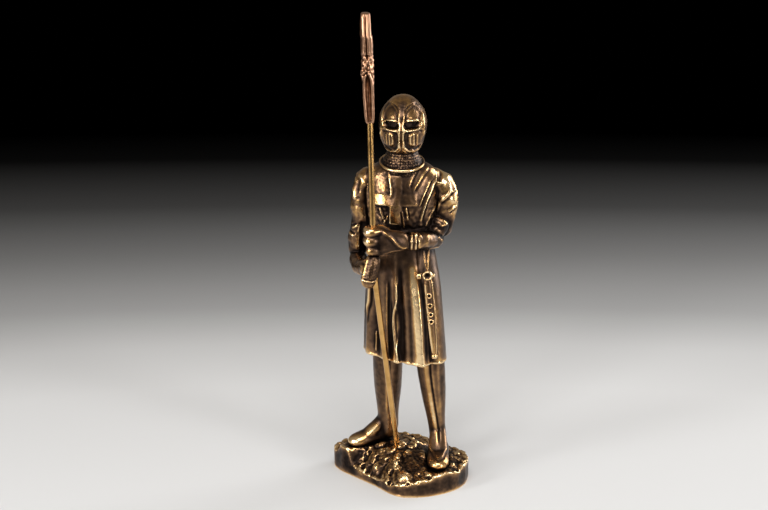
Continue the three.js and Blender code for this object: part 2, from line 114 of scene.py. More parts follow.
def in_front(facing, low=0.05, high=0.4):
    """1 where a surface faces the front, and 0 where it is turned away."""
    return smoothstep(-facing[:, 1], low, high)


def smooth(points, share, closed=False):
    """Points of the smooth curve through a list of points, at shares of its run."""
    points = np.asarray(points, float)
    if closed:
        chain = np.vstack([points[-1:], points, points[:2]])
    else:
        chain = np.vstack([2 * points[0] - points[1], points, 2 * points[-1] - points[-2]])
    run = np.clip(share, 0, 1) * (len(chain) - 3)
    span = np.minimum(run.astype(int), len(chain) - 4)
    rest = (run - span)[..., None]
    a, b, c, d = (chain[span + step] for step in range(4))
    bend = 2 * a - 5 * b + 4 * c - d + rest * (3 * (b - c) + d - a)
    return b + 0.5 * rest * (c - a + rest * bend)


def skin(sides, rings, place):
    """A closed skin, as its points and triangles. place(around, along) gives its points, and its
    first and last rings close to a point."""
    around, along = np.meshgrid(np.arange(sides) * TURN / sides, np.linspace(0, 1, rings + 1))
    grid = place(around, along)
    points = np.vstack([grid[0, :1], grid[1:-1].reshape(-1, 3), grid[-1, :1]])
    here = np.arange(sides)
    after = (here + 1) % sides
    first = 1 + np.arange(rings - 2)[:, None] * sides
    last = len(points) - 1
    foot = last - sides
    faces = [
        np.stack([first + here, first + here + sides, first + after + sides], -1),
        np.stack([first + here, first + after + sides, first + after], -1),
        np.stack([np.zeros_like(here), 1 + here, 1 + after], -1),
        np.stack([np.full_like(here, last), foot + after, foot + here], -1),
    ]
    return points, np.vstack([face.reshape(-1, 3) for face in faces])


def opening(share, blunt):
    """How far a skin with ends has opened out. A high blunt is a square end."""
    return np.sqrt(np.maximum(0, 1 - np.abs(2 * share - 1) ** blunt))


def ease(along):
    """Shares of a run, in steps that are closer together at both ends."""
    return (1 - np.cos(np.pi * along)) / 2


def swept(line, share, side, front, facing, step=1e-4):
    """Places round a smooth line, by how far they lie to its side and in front of it."""
    tangent = unit(smooth(line, share + step) - smooth(line, share - step))
    across = unit(np.cross(tangent, facing))
    outward = unit(np.cross(across, tangent))
    return smooth(line, share) + across * side[..., None] + outward * front[..., None]


def limb(line, width, depth=None, blunt=8, facing=FRONT, sides=40, rings=48, fold=None):
    """A limb, finger, fold or strap: ovals along a smooth line. fold(around, share) is what is added
    to its radius."""
    half = np.column_stack([width, depth or width])

    def place(around, along):
        share = ease(along)
        size = smooth(half, share)
        more = fold(around, share) if fold else 0
        swell = opening(share, blunt)
        side = np.sin(around) * (size[..., 0] + more) * swell
        front = np.cos(around) * (size[..., 1] + more) * swell
        return swept(line, share, side, front, facing)

    return skin(sides, rings, place)


def trunk(rows, middle, sides, rings, blunt=14, turn=0.0, fold=None):
    """An upright trunk: ovals at heights. Each row is a height, a half width and a half depth.
    fold(around, across, height) is what is added to its radius."""

    def place(around, along):
        share = ease(along)
        height, wide, deep = np.moveaxis(smooth(rows, share), -1, 0)
        more = fold(around, np.sin(around) * wide, height) if fold else 0
        swell = opening(share, blunt)
        side = np.sin(around) * (wide + more) * swell
        front = -np.cos(around) * (deep + more) * swell
        x = side * math.cos(turn) - front * math.sin(turn)
        y = side * math.sin(turn) + front * math.cos(turn)
        return np.stack([x, y, height], -1) + middle(share)

    return skin(sides, rings, place)


def ring(scale, thick, tilt, middle, sides=160, rings=24):
    """A rolled edge or belt: a closed tube round an upright oval. thick is a share of its size."""
    around, across = np.meshgrid(np.arange(sides) * TURN / sides, np.arange(rings) * TURN / rings)
    out = 1 + thick * np.cos(across)
    flat = np.stack([np.sin(around) * out, -np.cos(around) * out, thick * np.sin(across)], -1)
    points = flat * scale
    y = points[..., 1] * math.cos(tilt) - points[..., 2] * math.sin(tilt)
    z = points[..., 1] * math.sin(tilt) + points[..., 2] * math.cos(tilt)
    points = np.stack([points[..., 0], y, z], -1).reshape(-1, 3) + middle
    here = np.arange(sides)
    after = (here + 1) % sides
    low = np.arange(rings)[:, None] * sides
    high = (low + sides) % (sides * rings)
    faces = [
        np.stack([low + here, low + after, high + after], -1),
        np.stack([low + here, high + after, high + here], -1),
    ]
    return points, np.vstack([face.reshape(-1, 3) for face in faces])


def ball(radius, middle):
    def place(around, along):
        polar = np.pi * along
        flat = np.sin(polar)
        out = np.stack([np.sin(around) * flat, np.cos(around) * flat, np.cos(polar)], -1)
        return out * radius + middle

    return skin(24, 16, place)


def mail(along, up, pitch):
    """Rows of small rings, each row set off by half a ring, as the height that they add."""
    row = np.floor(up / pitch)
    across = 0.5 + 0.5 * np.cos(TURN * (along / pitch + 0.5 * (row % 2)))
    upward = 0.5 - 0.5 * np.cos(TURN * up / pitch)
    return across * upward


def beside(across, up, line):
    """How far each place in a plane is from a smooth line, above 0 on the left of the line's run,
    and what share of the line comes before it."""
    steps = 20
    knots = smooth(line, np.linspace(0, 1, steps + 1))
    run = np.diff(knots, axis=0)
    side = across[:, None] - knots[:-1, 0]
    rise = up[:, None] - knots[:-1, 1]
    share = np.clip((side * run[:, 0] + rise * run[:, 1]) / np.sum(run**2, axis=1), 0, 1)
    side = side - share * run[:, 0]
    rise = rise - share * run[:, 1]
    away = np.hypot(side, rise)
    place = np.arange(len(across))
    near = np.argmin(away, axis=1)
    left = np.sign(run[near, 0] * rise[place, near] - run[near, 1] * side[place, near])
    return left * away[place, near], (near + share[place, near]) / steps


# How a crease tapers at both ends, as a share of its run, and how far the hollow lies beside it and
# how far out it still counts, as shares of its spread.
TAPER = 0.16
HOLLOW_OFF = 1.8
CREASE_REACH = 4


def crease(across, up, height, spread, groove, line):
    """A ridge along a line in a plane, or a groove where height is below 0, as the height that it
    adds. groove is the depth of the hollow beside it: on the right of a line that runs down, or on
    its left where the depth is below 0."""
    shape = np.shape(across)
    across, up = np.ravel(across), np.ravel(up)
    low = np.min(line, axis=0) - CREASE_REACH * spread
    high = np.max(line, axis=0) + CREASE_REACH * spread
    near = (across > low[0]) & (across < high[0]) & (up > low[1]) & (up < high[1])
    total = np.zeros(len(across))
    off, along = beside(across[near], up[near], line)
    taper = smoothstep(along, 0, TAPER) * smoothstep(1 - along, 0, TAPER)
    hollow = ridge_at(off, math.copysign(HOLLOW_OFF * spread, groove), spread)
    total[near] = taper * (height * ridge_at(off, 0, spread) - abs(groove) * hollow)
    return total.reshape(shape)


def creases(across, up, rows):
    return sum(crease(across, up, *row) for row in rows)


def front_creases(points, facing, rows):
    """Creases drawn on what faces the front, by X and Z."""
    return creases(points[:, 0], points[:, 2], rows) * in_front(facing)


def scattered(points, size):
    """How far each place is from the nearest of a scatter of points about a size apart."""
    flat = points * [1, 1, 0] / size
    return np.array([noise.voronoi(place)[0][0] for place in flat.tolist()]) * size


# The ground. Its outline runs from the front towards the knight's left, and ends where it began.
# Each point is X, Y and the height of the rim there.
GROUND_MIDDLE = (-1.5, 4)
GROUND_EDGE = [
    (1.5, -16.9, 4),
    (11, -15.5, 6.2),
    (19.6, -9.8, 6.4),
    (23.9, -1, 7.4),
    (22.6, 8.6, 7.4),
    (15, 14.6, 8),
    (4, 19.6, 10),
    (-10, 22, 9),
    (-20, 19.6, 7.4),
    (-24, 14, 7),
    (-21.2, 7.6, 4.6),
    (-13.8, -1, 2.2),
    (-8.6, -7.2, 2.2),
    (-3.8, -13.6, 3),
]

# Stones lie in a spiral, each turned from the last by the golden angle. Their radius and their rise
# are a middle value and how far they vary.
STONES = 46
STONE_REACH = 26
STONE_SWING = 2.39996
STONE_RADIUS = (2.1, 0.6)
STONE_RISE = (1.3, 0.6)

# The bare hollow in front of the left shoe, as its middle, its half sizes and its depth.
BARE = {"x": 4.2, "y": -6, "wide": 5.2, "deep": 6.4, "depth": 0.9}

# The ground beside a shoe is level with its sole to the first distance and free of it from the next.
SOLE_REACH = (3, 5.6)

# The pitted part of the ground: a point on its front rim, the way inward from there, and how far in
# the pits thin out and end. Pits are round holes, and lumps the round stones behind them.
PITTED_FROM = (-22, 8)
PITTED_INWARD = (0.75, 0.66)
PITTED_REACH = (6, 9)
PIT_SPACING = 2.9
PIT_RADIUS = 1.2
PIT_DEPTH = 0.9
LUMP_SPACING = 3.2
LUMP_RADIUS = 1.9
LUMP_HEIGHT = 0.8
RIM_HEIGHT = 0.35


def bare_cover(x, y):
    """1 in the middle of the bare hollow and 0 outside it."""
    away = np.hypot((x - BARE["x"]) / BARE["wide"], (y - BARE["y"]) / BARE["deep"])
    return 1 - smoothstep(away, 0.6, 1.15)


def stones(x, y):
    """Stones in a spiral scatter, as the height that they add to the ground."""
    highest = np.zeros_like(x)
    for k in range(STONES):
        out = STONE_REACH * math.sqrt((k + 0.5) / STONES)
        size = STONE_RADIUS[0] + STONE_RADIUS[1] * math.sin(k * 5.3)
        away = np.hypot(x - out * math.sin(k * STONE_SWING), y - 2 - out * math.cos(k * STONE_SWING))
        rise = STONE_RISE[0] + STONE_RISE[1] * math.sin(k * 3.1)
        highest = np.maximum(highest, rise * ridge_at(away, 0, size))
    return highest * (1 - bare_cover(x, y))


def under_shoe(x, y, shoe):
    """How far along a shoe a point lies, and how much it is under it: 1 under the sole."""
    heel, toe = np.array(shoe[0], float), np.array(shoe[1], float)
    run = (toe - heel)[:2]
    share = np.clip(((x - heel[0]) * run[0] + (y - heel[1]) * run[1]) / (run @ run), 0, 1)
    away = np.hypot(heel[0] + run[0] * share - x, heel[1] + run[1] * share - y)
    return share, 1 - smoothstep(away, *SOLE_REACH)


def ground_height(x, y, spread, rim):
    """Height of the ground between the rim, where spread is 1, and the middle."""
    height = lerp(GROUND, rim, spread**1.7) + (stones(x, y) - 0.4) * smoothstep(1 - spread, 0, 0.1)
    height = height - BARE["depth"] * bare_cover(x, y)
    for shoe in (LEFT_SHOE, RIGHT_SHOE):
        share, cover = under_shoe(x, y, shoe)
        sole = lerp(shoe[0][2], shoe[1][2], share) + 0.2
        height = lerp(height, sole, cover)
    return height + RIM_HEIGHT * ridge_at(spread, 0.98, 0.035)


def ground_base():
    """The ground as one closed skin: a flat underside, an upright side and the rough top."""
    rings = 150
    top = 3

    # The rows before the top's first are the underside's middle, its edge, and the head of the side.
    def place(around, along):
        rim = smooth(GROUND_EDGE, around / TURN, closed=True)
        row = np.round(along * rings)
        spread = np.where(row < top, np.minimum(row, 1), 1 - (row - top) / (rings - top))
        x = lerp(GROUND_MIDDLE[0], rim[..., 0], spread)
        y = lerp(GROUND_MIDDLE[1], rim[..., 1], spread)
        low = np.where(row == top - 1, rim[..., 2] * 0.9, 0)
        ragged = rim[..., 2] + 0.35 * np.sin(around * 23) * np.sin(around * 7 + 1)
        return np.stack([x, y, np.where(row < top, low, ground_height(x, y, spread, ragged))], -1)

    return skin(300, rings, place)


def ground_relief(points, facing):
    """Round pits in front, round stones behind, and sides worked nearly smooth."""
    x, y = points[:, 0], points[:, 1]
    top = smoothstep(facing[:, 2], 0.3, 0.75)
    inward = (x - PITTED_FROM[0]) * PITTED_INWARD[0] + (y - PITTED_FROM[1]) * PITTED_INWARD[1]
    pitted = 1 - smoothstep(inward, *PITTED_REACH)
    trodden = sum(under_shoe(x, y, shoe)[1] for shoe in (LEFT_SHOE, RIGHT_SHOE))
    rough = (1 - bare_cover(x, y)) * (1 - np.minimum(trodden, 1))
    away = scattered(points, PIT_SPACING)
    pits = 0.3 - PIT_DEPTH * (1 - smoothstep(away, PIT_RADIUS * 0.45, PIT_RADIUS))
    away = scattered(points + 40, LUMP_SPACING)
    lumps = LUMP_HEIGHT * (np.sqrt(np.maximum(0, 1 - (away / LUMP_RADIUS) ** 2)) - 0.5)
    relief = lerp(lumps, pits, pitted) * rough + 0.2 * perlin(points, 0.9)
    side = 0.45 * perlin(points * [1, 1, 0.15], 4.5) + 0.04 * perlin(points, 1.2)
    return lerp(side, relief, top) * smoothstep(points[:, 2], 0.2, 1.2)


def leg(hip, ankle, width):
    """A leg in a smooth greave."""

    def down(share, push):
        return lerp(hip, ankle, share) + at(0, push, 0)

    def shin(around, share):
        return ridge(around, 0, 24, 0.4) * smoothstep(share, 0.1, 0.3)

    line = [hip, down(0.3, 0.7), down(0.6, 1.1), down(0.85, 0.3), ankle, ankle - at(0, 0, 6)]
    return limb(line, width, sides=80, rings=90, fold=shin)


def shoe(places, instep):
    """A shoe with a broad round toe, and the instep that rises from it to the shin."""
    heel, toe = np.array(places[0], float), np.array(places[1], float)
    steps = [(-0.05, 2.4), (0.25, 3.0), (0.55, 2.4), (0.8, 1.8), (1.04, 1.6)]
    foot = limb(
        line=[lerp(heel, toe, share) + at(0, 0, lift) for share, lift in steps],
        width=[3, 3.8, 3.8, 4, 3.6],
        depth=[2.6, 3.8, 3.1, 2.7, 2.6],
        facing=UP,
        blunt=4,
        sides=60,
        rings=60,
    )
    widths = [2, 2.8, 3.4, 3.2]
    depths = [1.2, 2.1, 2.3, 1.6]
    return [foot, limb(instep, widths, depths, facing=UP, blunt=4, sides=60)]


# Each leg's hip and ankle, and its half widths from the hip to a little below the ankle.
LEFT_LEG = (at(9.6, 2, HEM + 6), at(13.4, 4.4, 15.5), [5.6, 5.1, 4.3, 3.2, 3.1, 3.5])
RIGHT_LEG = (at(-4.7, 6.4, HEM + 6), at(-4.5, 11.6, 17.8), [5.6, 5.4, 4.9, 3.9, 3.8, 3.8])

# The line down the middle of each instep, from the shin to the toe.
LEFT_INSTEP = [at(13.3, 5.2, 24), at(13.3, 3.4, 18.6), at(13.3, -0.8, 13.2), at(13.2, -5.8, 10)]
RIGHT_INSTEP = [at(-4.8, 12, 24.5), at(-7, 11.4, 18.6), at(-10.8, 10.6, 14.6), at(-14.8, 9.6, 12.2)]

# Lines on the legs and shoes, each as a height, a spread, the hollow beside it, and X and Z.
LEG_CREASES = [
    (0.25, 0.9, 0, [(8.7, 50), (8.9, 41), (10.6, 29.5), (12.4, 20), (13.2, 13)]),
    (-0.35, 0.45, 0, [(10.2, 50), (10.5, 41), (12, 29.5), (13.4, 20), (14, 14)]),
    (0.2, 0.7, 0, [(13, 50), (13.2, 41), (13.9, 29.5), (14.9, 18)]),
    (0.12, 0.6, 0.2, [(-5.3, 50), (-5.1, 34), (-5, 22)]),
    (0.15, 0.35, -0.15, [(9.6, 13.6), (13.4, 11.8), (17.6, 13.4)]),
]


def leg_relief(points, facing):
    """Smooth greaves with a shin line, and the edge of each shoe's toe."""
    return 0.03 * perlin(points, 1.4) + front_creases(points, facing, LEG_CREASES)


# The surcoat's skirt. Its folds are an angle from the front towards the knight's left, a spread in
# degrees, and a height.
SKIRT_FOLDS = [
    (-48, 36, -2.2),
    (52, 24, 1.4),
    (-82, 9, 0.7),
    (-64, 8, -0.7),
    (-45, 8, 0.5),
    (-31, 7, -0.6),
    (-21, 5, 0.4),
    (-13.5, 3, 0.8),
    (-4.5, 7, -1.4),
    (43, 6, -1.5),
]
PLEAT = {"foot": 11, "crest": 23.5, "end": 34, "height": 1.9}
BACK_FOLDS = [(108 + 24 * i, 9, -1 if i % 2 else 1) for i in range(7)]
SKIRT_TOP = {"wide": 10.6, "deep": 8.4, "x": 0.2, "y": 1.3}
SKIRT_HEM = {"wide": 14.6, "deep": 12, "x": 1.5, "y": 1.8}

# The hem drops by this much for each millimetre to the knight's left. The skin reaches the hem at a
# share of its run, and then turns up inside by a lift.
HEM_TILT = 0.05
HEM_LIFT = 3
HEM_AT = 0.8

# Sharp folds on the skirt's front: height, spread, hollow beside it, and X and Z.
SKIRT_CREASES = [
    (0.5, 0.3, 0.5, [
        (-1.9, 79), (-1.6, 71), (-2.5, 66.7), (-2.7, 62.5), (-2.4, 58), (-1.9, 53.5), (-1, 48.4),
    ]),
    (-0.7, 0.7, 0, [
        (-0.6, 82), (-0.4, 71), (-1.3, 66.7), (-1.5, 62.5), (-1.2, 58), (-0.6, 53.5), (0.3, 46),
    ]),
    (0.2, 0.35, 0.2, [(-4.9, 78), (-5, 66), (-4.7, 49)]),
    (0.15, 0.3, 0.15, [(-3.8, 72), (-3.7, 58), (-3.3, 49)]),
    (0.45, 0.5, 0.35, [(-11, 78), (-11.2, 72), (-11.5, 67.8), (-12.4, 64.4), (-12.9, 59)]),
    (0.35, 0.35, 0.3, [(-8.6, 58), (-8.6, 54), (-8.8, 49.6)]),
]


def pleat(angle):
    """The broad pleat in front of the left leg: a flat flank up to a sharp crest, and a quick fall."""
    turned = np.degrees((angle + np.pi) % TURN - np.pi)
    rise = np.clip((turned - PLEAT["foot"]) / (PLEAT["crest"] - PLEAT["foot"]), 0, 1)
    return PLEAT["height"] * rise * (1 - smoothstep(turned, PLEAT["crest"], PLEAT["end"]))


def skirt():
    """The skirt, closed at the waist and open below: its skin turns in at the hem."""

    # The coat flares most in its upper half. Its skin's points lie closer together in front.
    def place(around, along):
        down = np.minimum(1, along / HEM_AT)
        inside = np.maximum(0, (along - HEM_AT) / (1 - HEM_AT))
        spread = (0.55 * down + 0.45 * smoothstep(down, 0, 0.5)) ** 1.1
        wide = lerp(SKIRT_TOP["wide"], SKIRT_HEM["wide"], spread)
        deep = lerp(SKIRT_TOP["deep"], SKIRT_HEM["deep"], spread)
        angle = around - 0.3 * np.sin(around)
        turned = angle + HIP_TURN * smoothstep(down, 0.1, 0.6)
        reach = 1 / np.hypot(np.cos(turned) / deep, np.sin(turned) / wide)
        fold = ridges(angle, SKIRT_FOLDS + BACK_FOLDS) + pleat(angle)
        fold = fold * smoothstep(down, 0.12, 0.8)
        out = np.where(along == 0, 0, (reach + fold) * (1 - inside))
        x = lerp(SKIRT_TOP["x"], SKIRT_HEM["x"], down) + np.sin(angle) * out
        y = lerp(SKIRT_TOP["y"], SKIRT_HEM["y"], down) - np.cos(angle) * out
        return np.stack([x, y, lerp(WAIST + 1, HEM - x * HEM_TILT, down) + HEM_LIFT * inside], -1)

    return skin(420, 200, place)


def skirt_relief(points, facing):
    """Smooth cloth with a few sharp folds in front, and a lip along the hem."""
    over_hem = points[:, 2] - (HEM - points[:, 0] * HEM_TILT)
    lip = 0.1 * ridge_at(over_hem, 0.6, 0.4)
    return lip + 0.03 * perlin(points, 1.6) + front_creases(points, facing, SKIRT_CREASES)


# The chest under its surcoat. Each row is a height, a half width and a half depth.
CHEST_ROWS = [
    (WAIST - 6, 10.4, 8.2),
    (WAIST, 10.6, 8.3),
    (SHOULDER - 14, 11.5, 8.9),
    (SHOULDER - 6, 12.4, 9.4),
    (SHOULDER + 0.6, 12.4, 8.6),
    (SHOULDER + 4, 11.2, 7.4),
    (SHOULDER + 7.2, 6.6, 5.8),
]
CHEST_MIDDLE = at(0.2, 1, 0)

# The cross's middle, half the width of its arms, how far they reach, how far its post does, and how
# proud it stands. The part on the knight's left is worn down to a share of that.
CROSS = {"x": -1.9, "z": 106.8, "half": 2.05, "reach": 7.3, "rise": 8.6, "coat": 0.7}
WORN_CROSS = 0.3


def cross_cover(x, z, soft=0.3):
    """1 inside the broad cross on the chest and 0 outside it."""
    side = np.abs(x - CROSS["x"])
    up = np.abs(z - CROSS["z"])
    post = np.maximum(side - CROSS["half"], up - CROSS["rise"])
    beam = np.maximum(side - CROSS["reach"], up - CROSS["half"])
    return 1 - smoothstep(np.minimum(post, beam), -soft, soft)


def chest():
    """The chest, with the broad cross on it tipped a little to look up and worn low on one side."""

    def fold(around, across, height):
        x = across + CHEST_MIDDLE[0]
        coat = CROSS["coat"] + np.clip(0.15 * (CROSS["z"] - height), -0.3, 0.3)
        worn = lerp(1, WORN_CROSS, smoothstep(x, CROSS["x"], CROSS["x"] + 2.5))
        return (np.cos(around) > 0) * coat * worn * cross_cover(x, height)

    return trunk(CHEST_ROWS, lambda share: CHEST_MIDDLE, sides=300, rings=220, fold=fold)


# Folds and edges of the surcoat's front: height, spread, hollow beside it, and X and Z.
COAT_CREASES = [
    (0.25, 0.32, 0.2, [(10.5, 113.8), (8.8, 110.4), (7.1, 106.8), (6, 103.8)]),
    (0.5, 0.45, 0.35, [(12.2, 114.4), (10.5, 109.7), (9.1, 106.8), (7.7, 103.2), (6.4, 98)]),
    (0.3, 0.32, 0.25, [(12, 104), (9.8, 99.7), (8, 96)]),
    (0.22, 0.35, 0.2, [(13.6, 111), (12.5, 106.8), (11.8, 103)]),
    (0.3, 0.32, 0.2, [(10.3, 117.2), (12.1, 114.8), (11.3, 111)]),
    (0.15, 0.45, 0.15, [(6.2, 118.4), (3.8, 114.8), (2.2, 111)]),
    (0.16, 0.45, 0.16, [(9.4, 117.6), (6.4, 113.6), (3.6, 109.6)]),
    (0.5, 0.45, 0.4, [(-12.1, 117), (-11.8, 110.4), (-11.3, 103.2), (-10.5, 97)]),
    (0.25, 0.28, 0.25, [(1.5, 104.6), (2, 102), (2.2, 99.6)]),
    (0.25, 0.28, -0.25, [(0.2, 103.4), (0.6, 100), (1, 96)]),
    (0.3, 0.3, 0.3, [(-7.5, 104), (-6.7, 101.4), (-5.5, 98.6)]),
    (0.3, 0.3, -0.3, [(-4.5, 101.6), (-5.2, 99.8), (-6.4, 98)]),
    (0.35, 0.38, 0, [(-4.6, 117), (-3.9, 113), (-3.5, 110.4), (-3.7, 107.4)]),
]


def coat_relief(points, facing):
    """The surcoat's folds, with its cloth left pebbled beside the cross."""
    x, z = points[:, 0], points[:, 2]
    pebbles = 0.05 * perlin(points, 0.75) * smoothstep(-x, 2, 5) * (1 - cross_cover(x, z))
    dents = 0.22 * perlin(points, 1.5) * smoothstep(np.abs(z - CROSS["z"]) - CROSS["half"], 0, 2)
    low = dents * (1 - smoothstep(z, 103, 105)) * (1 - cross_cover(x, z)) * in_front(facing)
    return pebbles + low + 0.05 * perlin(points, 1.2) + front_creases(points, facing, COAT_CREASES)


def belt():
    return ring((10.8, 8.6, 11), 0.08, 0, at(0.2, 1.1, WAIST + 1))


# From ring to ring of the mail, drawn as coarse as it needs to show in the render.
NECK_MAIL = 0.85
MITTEN_MAIL = 0.95


def neck():
    """Neck mail under the helm."""
    rows = [
        (SHOULDER + 2, 9, 8),
        (SHOULDER + 5, 7.8, 7.7),
        (SHOULDER + 7.6, 6.4, 6.8),
        (CHIN, 5.2, 6.4),
        (CHIN + 4, 4.8, 6.2),
    ]

    def fold(around, across, height):
        return 0.22 * mail(around * 6.5 + 0.4 * height, height, NECK_MAIL) - 0.1

    return trunk(rows, lambda share: at(0.3, 0.6, 0), sides=320, rings=150, fold=fold)


def neck_relief(points, facing):
    return 0.16 * perlin(points, 0.9)


def collar():
    """The rolled edge of the surcoat's neck."""
    return ring((7.5, 8.1, 8), 0.07, math.radians(9), at(0.2, 0.4, SHOULDER + 6.3))


# The helm, with hollows that leave a broad-ended cross on its face. Each row is a rise above the
# chin, a half width and a half depth.
HELM_ROWS = [
    (-0.8, 5.4, 6.2),
    (1.4, 6.4, 7.8),
    (4.2, 7.4, 9),
    (8.6, 8.3, 9.7),
    (12, 8.1, 9.3),
    (14.4, 7.2, 8.4),
    (16.6, 5.6, 6.6),
    (18.3, 3.8, 4.6),
    (19.5, 1.9, 2.2),
]
HELM_MIDDLE = at(0.5, 0.5, 0)
HELM_LEAN = at(0, 0.8, 0)

# The face's parts on one side, which the other side mirrors about the face's middle: how far out and
# up the middle of each is, its half sizes, and how deep or high it is.
HOLLOW_DEPTH = 0.8
HOLLOWS = [
    {"x": 3.8, "rise": 13.3, "wide": 2.8, "high": 3.9},
    {"x": 4.1, "rise": 4.9, "wide": 3.1, "high": 3.7},
]
EYE = {"x": 3.6, "rise": 10.6, "wide": 2.8, "high": 1.15}
EYE_DEPTH = 1.1
LID = {"x": 4.2, "rise": 14, "wide": 2.3, "high": 2.2}
LID_HEIGHT = 0.25
BREATH = {"x": 5.3, "rise": 5.6, "wide": 2.6, "high": 2.7}
BREATH_HEIGHT = 0.6
FACE_MIDDLE = 0.3

# The bar down the face: its height, the groove in it, and the rises between which it ends.
BAR_HEIGHT = 0.5
BAR_GROOVE = 0.4
BAR_FOOT = (1, 3)
BAR_TOP = (11.6, 14.2)

# Raised lines on each side of the helm's face: height, spread, hollow beside it, and X and rise.
HELM_LINES = [
    (0.35, 0.33, 0, [(0.8, 2), (0.8, 6), (0.8, 10), (0.9, 12.6), (1.3, 14.2)]),
    (0.5, 0.36, 0, [(0.7, 12.2), (1.2, 14.4), (2.2, 16), (3.8, 16.9), (5.5, 15.9), (6.7, 13.6)]),
    (0.35, 0.4, 0.3, [(6.2, 15.2), (6.7, 14), (7.1, 12), (7.3, 8.6), (6.4, 3)]),
    (0.35, 0.4, 0, [(0.9, 8.9), (3.2, 8.9), (5.4, 9.4), (7, 11.4)]),
    (0.35, 0.3, 0, [(1.6, 12), (3.6, 12.3), (5.8, 11.9), (6.6, 10.9)]),
    (0.45, 0.42, 0, [(0.8, 5.6), (1.2, 2.9), (2.6, 1.5), (4.6, 1.7)]),
    (0.3, 0.35, 0, [(0.4, 2.4), (1.4, 0.6), (3, 0), (4.6, 0.6)]),
    (0.25, 0.3, 0.2, [(4.3, 8), (4.3, 5.6), (4.3, 2.8)]),
    (0.2, 0.3, 0.15, [(3.3, 7.6), (3.1, 5.6), (3.3, 3.2)]),
    (0.2, 0.3, 0.15, [(5.5, 7.6), (5.5, 5.6), (5.3, 3.4)]),
]


def oval_cover(x, z, hollow, square=2.6, soft=0.12):
    """1 inside a rounded hollow and 0 outside it."""
    off = (np.abs(x - hollow["x"]) / hollow["wide"]) ** square
    off = (off + (np.abs(z - hollow["rise"]) / hollow["high"]) ** square) ** (1 / square)
    return 1 - smoothstep(off, 1 - soft, 1 + soft)


def helm_face(around, across, rise):
    """The relief of the helm: eye slits and breaths in hollows, a grooved bar between them and a
    border round the face."""
    x = np.abs(across - FACE_MIDDLE)
    bar = smoothstep(rise, *BAR_FOOT) * (1 - smoothstep(rise, *BAR_TOP))
    relief = (ridge(around, 0, 14, BAR_HEIGHT) - BAR_GROOVE * ridge_at(x, 0, 0.26)) * bar
    for hollow in HOLLOWS:
        square = np.where((rise > hollow["rise"]) & (hollow["rise"] < EYE["rise"]), 7, 2.6)
        relief = relief - HOLLOW_DEPTH * oval_cover(x, rise, hollow, square)
    relief = relief + LID_HEIGHT * oval_cover(x, rise, LID, 2, 0.5)
    relief = relief + BREATH_HEIGHT * oval_cover(x, rise, BREATH, 3, 0.2)
    relief = relief - EYE_DEPTH * oval_cover(x, rise, EYE, 3.2)
    relief = relief + creases(x, rise, HELM_LINES)
    return relief * smoothstep(np.cos(around), 0.2, 0.4)


def helm():
    rows = [(CHIN + rise, wide, deep) for rise, wide, deep in HELM_ROWS]
    return trunk(
        rows,
        lambda share: HELM_MIDDLE + share[..., None] * HELM_LEAN,
        sides=480,
        rings=400,
        turn=HEAD_TURN,
        fold=lambda around, across, height: helm_face(around, across, height - CHIN),
    )


def helm_relief(points, facing):
    """A face worked smooth, with a faint grain."""
    return 0.04 * perlin(points, 0.9)


# How high a fold that runs round a sleeve is.
SLEEVE_FOLD = 0.5


def sleeve(line, width, depth, folds):
    """A sleeve, with folds that run round it: sharp crests and round valleys."""

    def fold(around, share):
        valley = np.abs(np.sin(share * folds * np.pi / 2 + 0.8 * np.sin(around + 0.6)))
        return SLEEVE_FOLD * (0.5 - valley)

    return limb(line, width, depth, sides=100, rings=140, fold=fold)


# Folds on the front of the sleeves: height, spread, hollow beside it, and X and Z.
SLEEVE_CREASES = [
    (0.5, 0.55, 0.3, [(16, 112.4), (17, 108.6), (15.2, 106.2), (12.8, 104.3)]),
    (0.35, 0.4, 0.25, [(19.2, 108.4), (17, 107.7)]),
    (0.45, 0.5, 0.3, [(19.2, 102.8), (16.2, 100.7)]),
    (0.45, 0.5, -0.25, [(13.4, 104.8), (12.7, 101.7), (11.6, 99.2)]),
    (0.25, 0.5, -0.3, [(10.4, 98), (13.1, 97.4), (14.2, 96.4), (16.8, 97)]),
    (0.35, 0.4, 0.25, [(12.8, 93), (14.6, 90.2)]),
    (0.45, 0.45, 0.3, [(11.9, 104.6), (10.1, 99.2), (7.9, 95.8)]),
    (-0.6, 0.9, 0, [(13.9, 115.6), (13.4, 111.6)]),
    (0.35, 0.35, -0.3, [(3.5, 97), (3.4, 90)]),
    (0.35, 0.35, 0.3, [(5, 97), (4.9, 90)]),
    (0.35, 0.4, 0, [(6, 88.8), (10.5, 89.2), (13.6, 88.4)]),
    (0.5, 0.7, 0.3, [(-15.7, 113.4), (-16.4, 109), (-16, 104.6)]),
    (0.3, 0.4, 0.3, [(-18.4, 92.8), (-16.4, 91.6)]),
    (0.3, 0.4, 0.25, [(-17.2, 94.4), (-15, 95.8)]),
    (0.3, 0.4, 0.25, [(-14.5, 96.4), (-15, 93)]),
    (-0.9, 1.2, 0, [(-13.6, 98), (-13.6, 93), (-13.3, 88), (-13.4, 84)]),
]


def sleeve_relief(points, facing):
    """Rumpled cloth with sharp folds in front."""
    rumpled = 0.24 * perlin(points, 3) + 0.07 * perlin(points, 1.3)
    return rumpled + front_creases(points, facing, SLEEVE_CREASES)


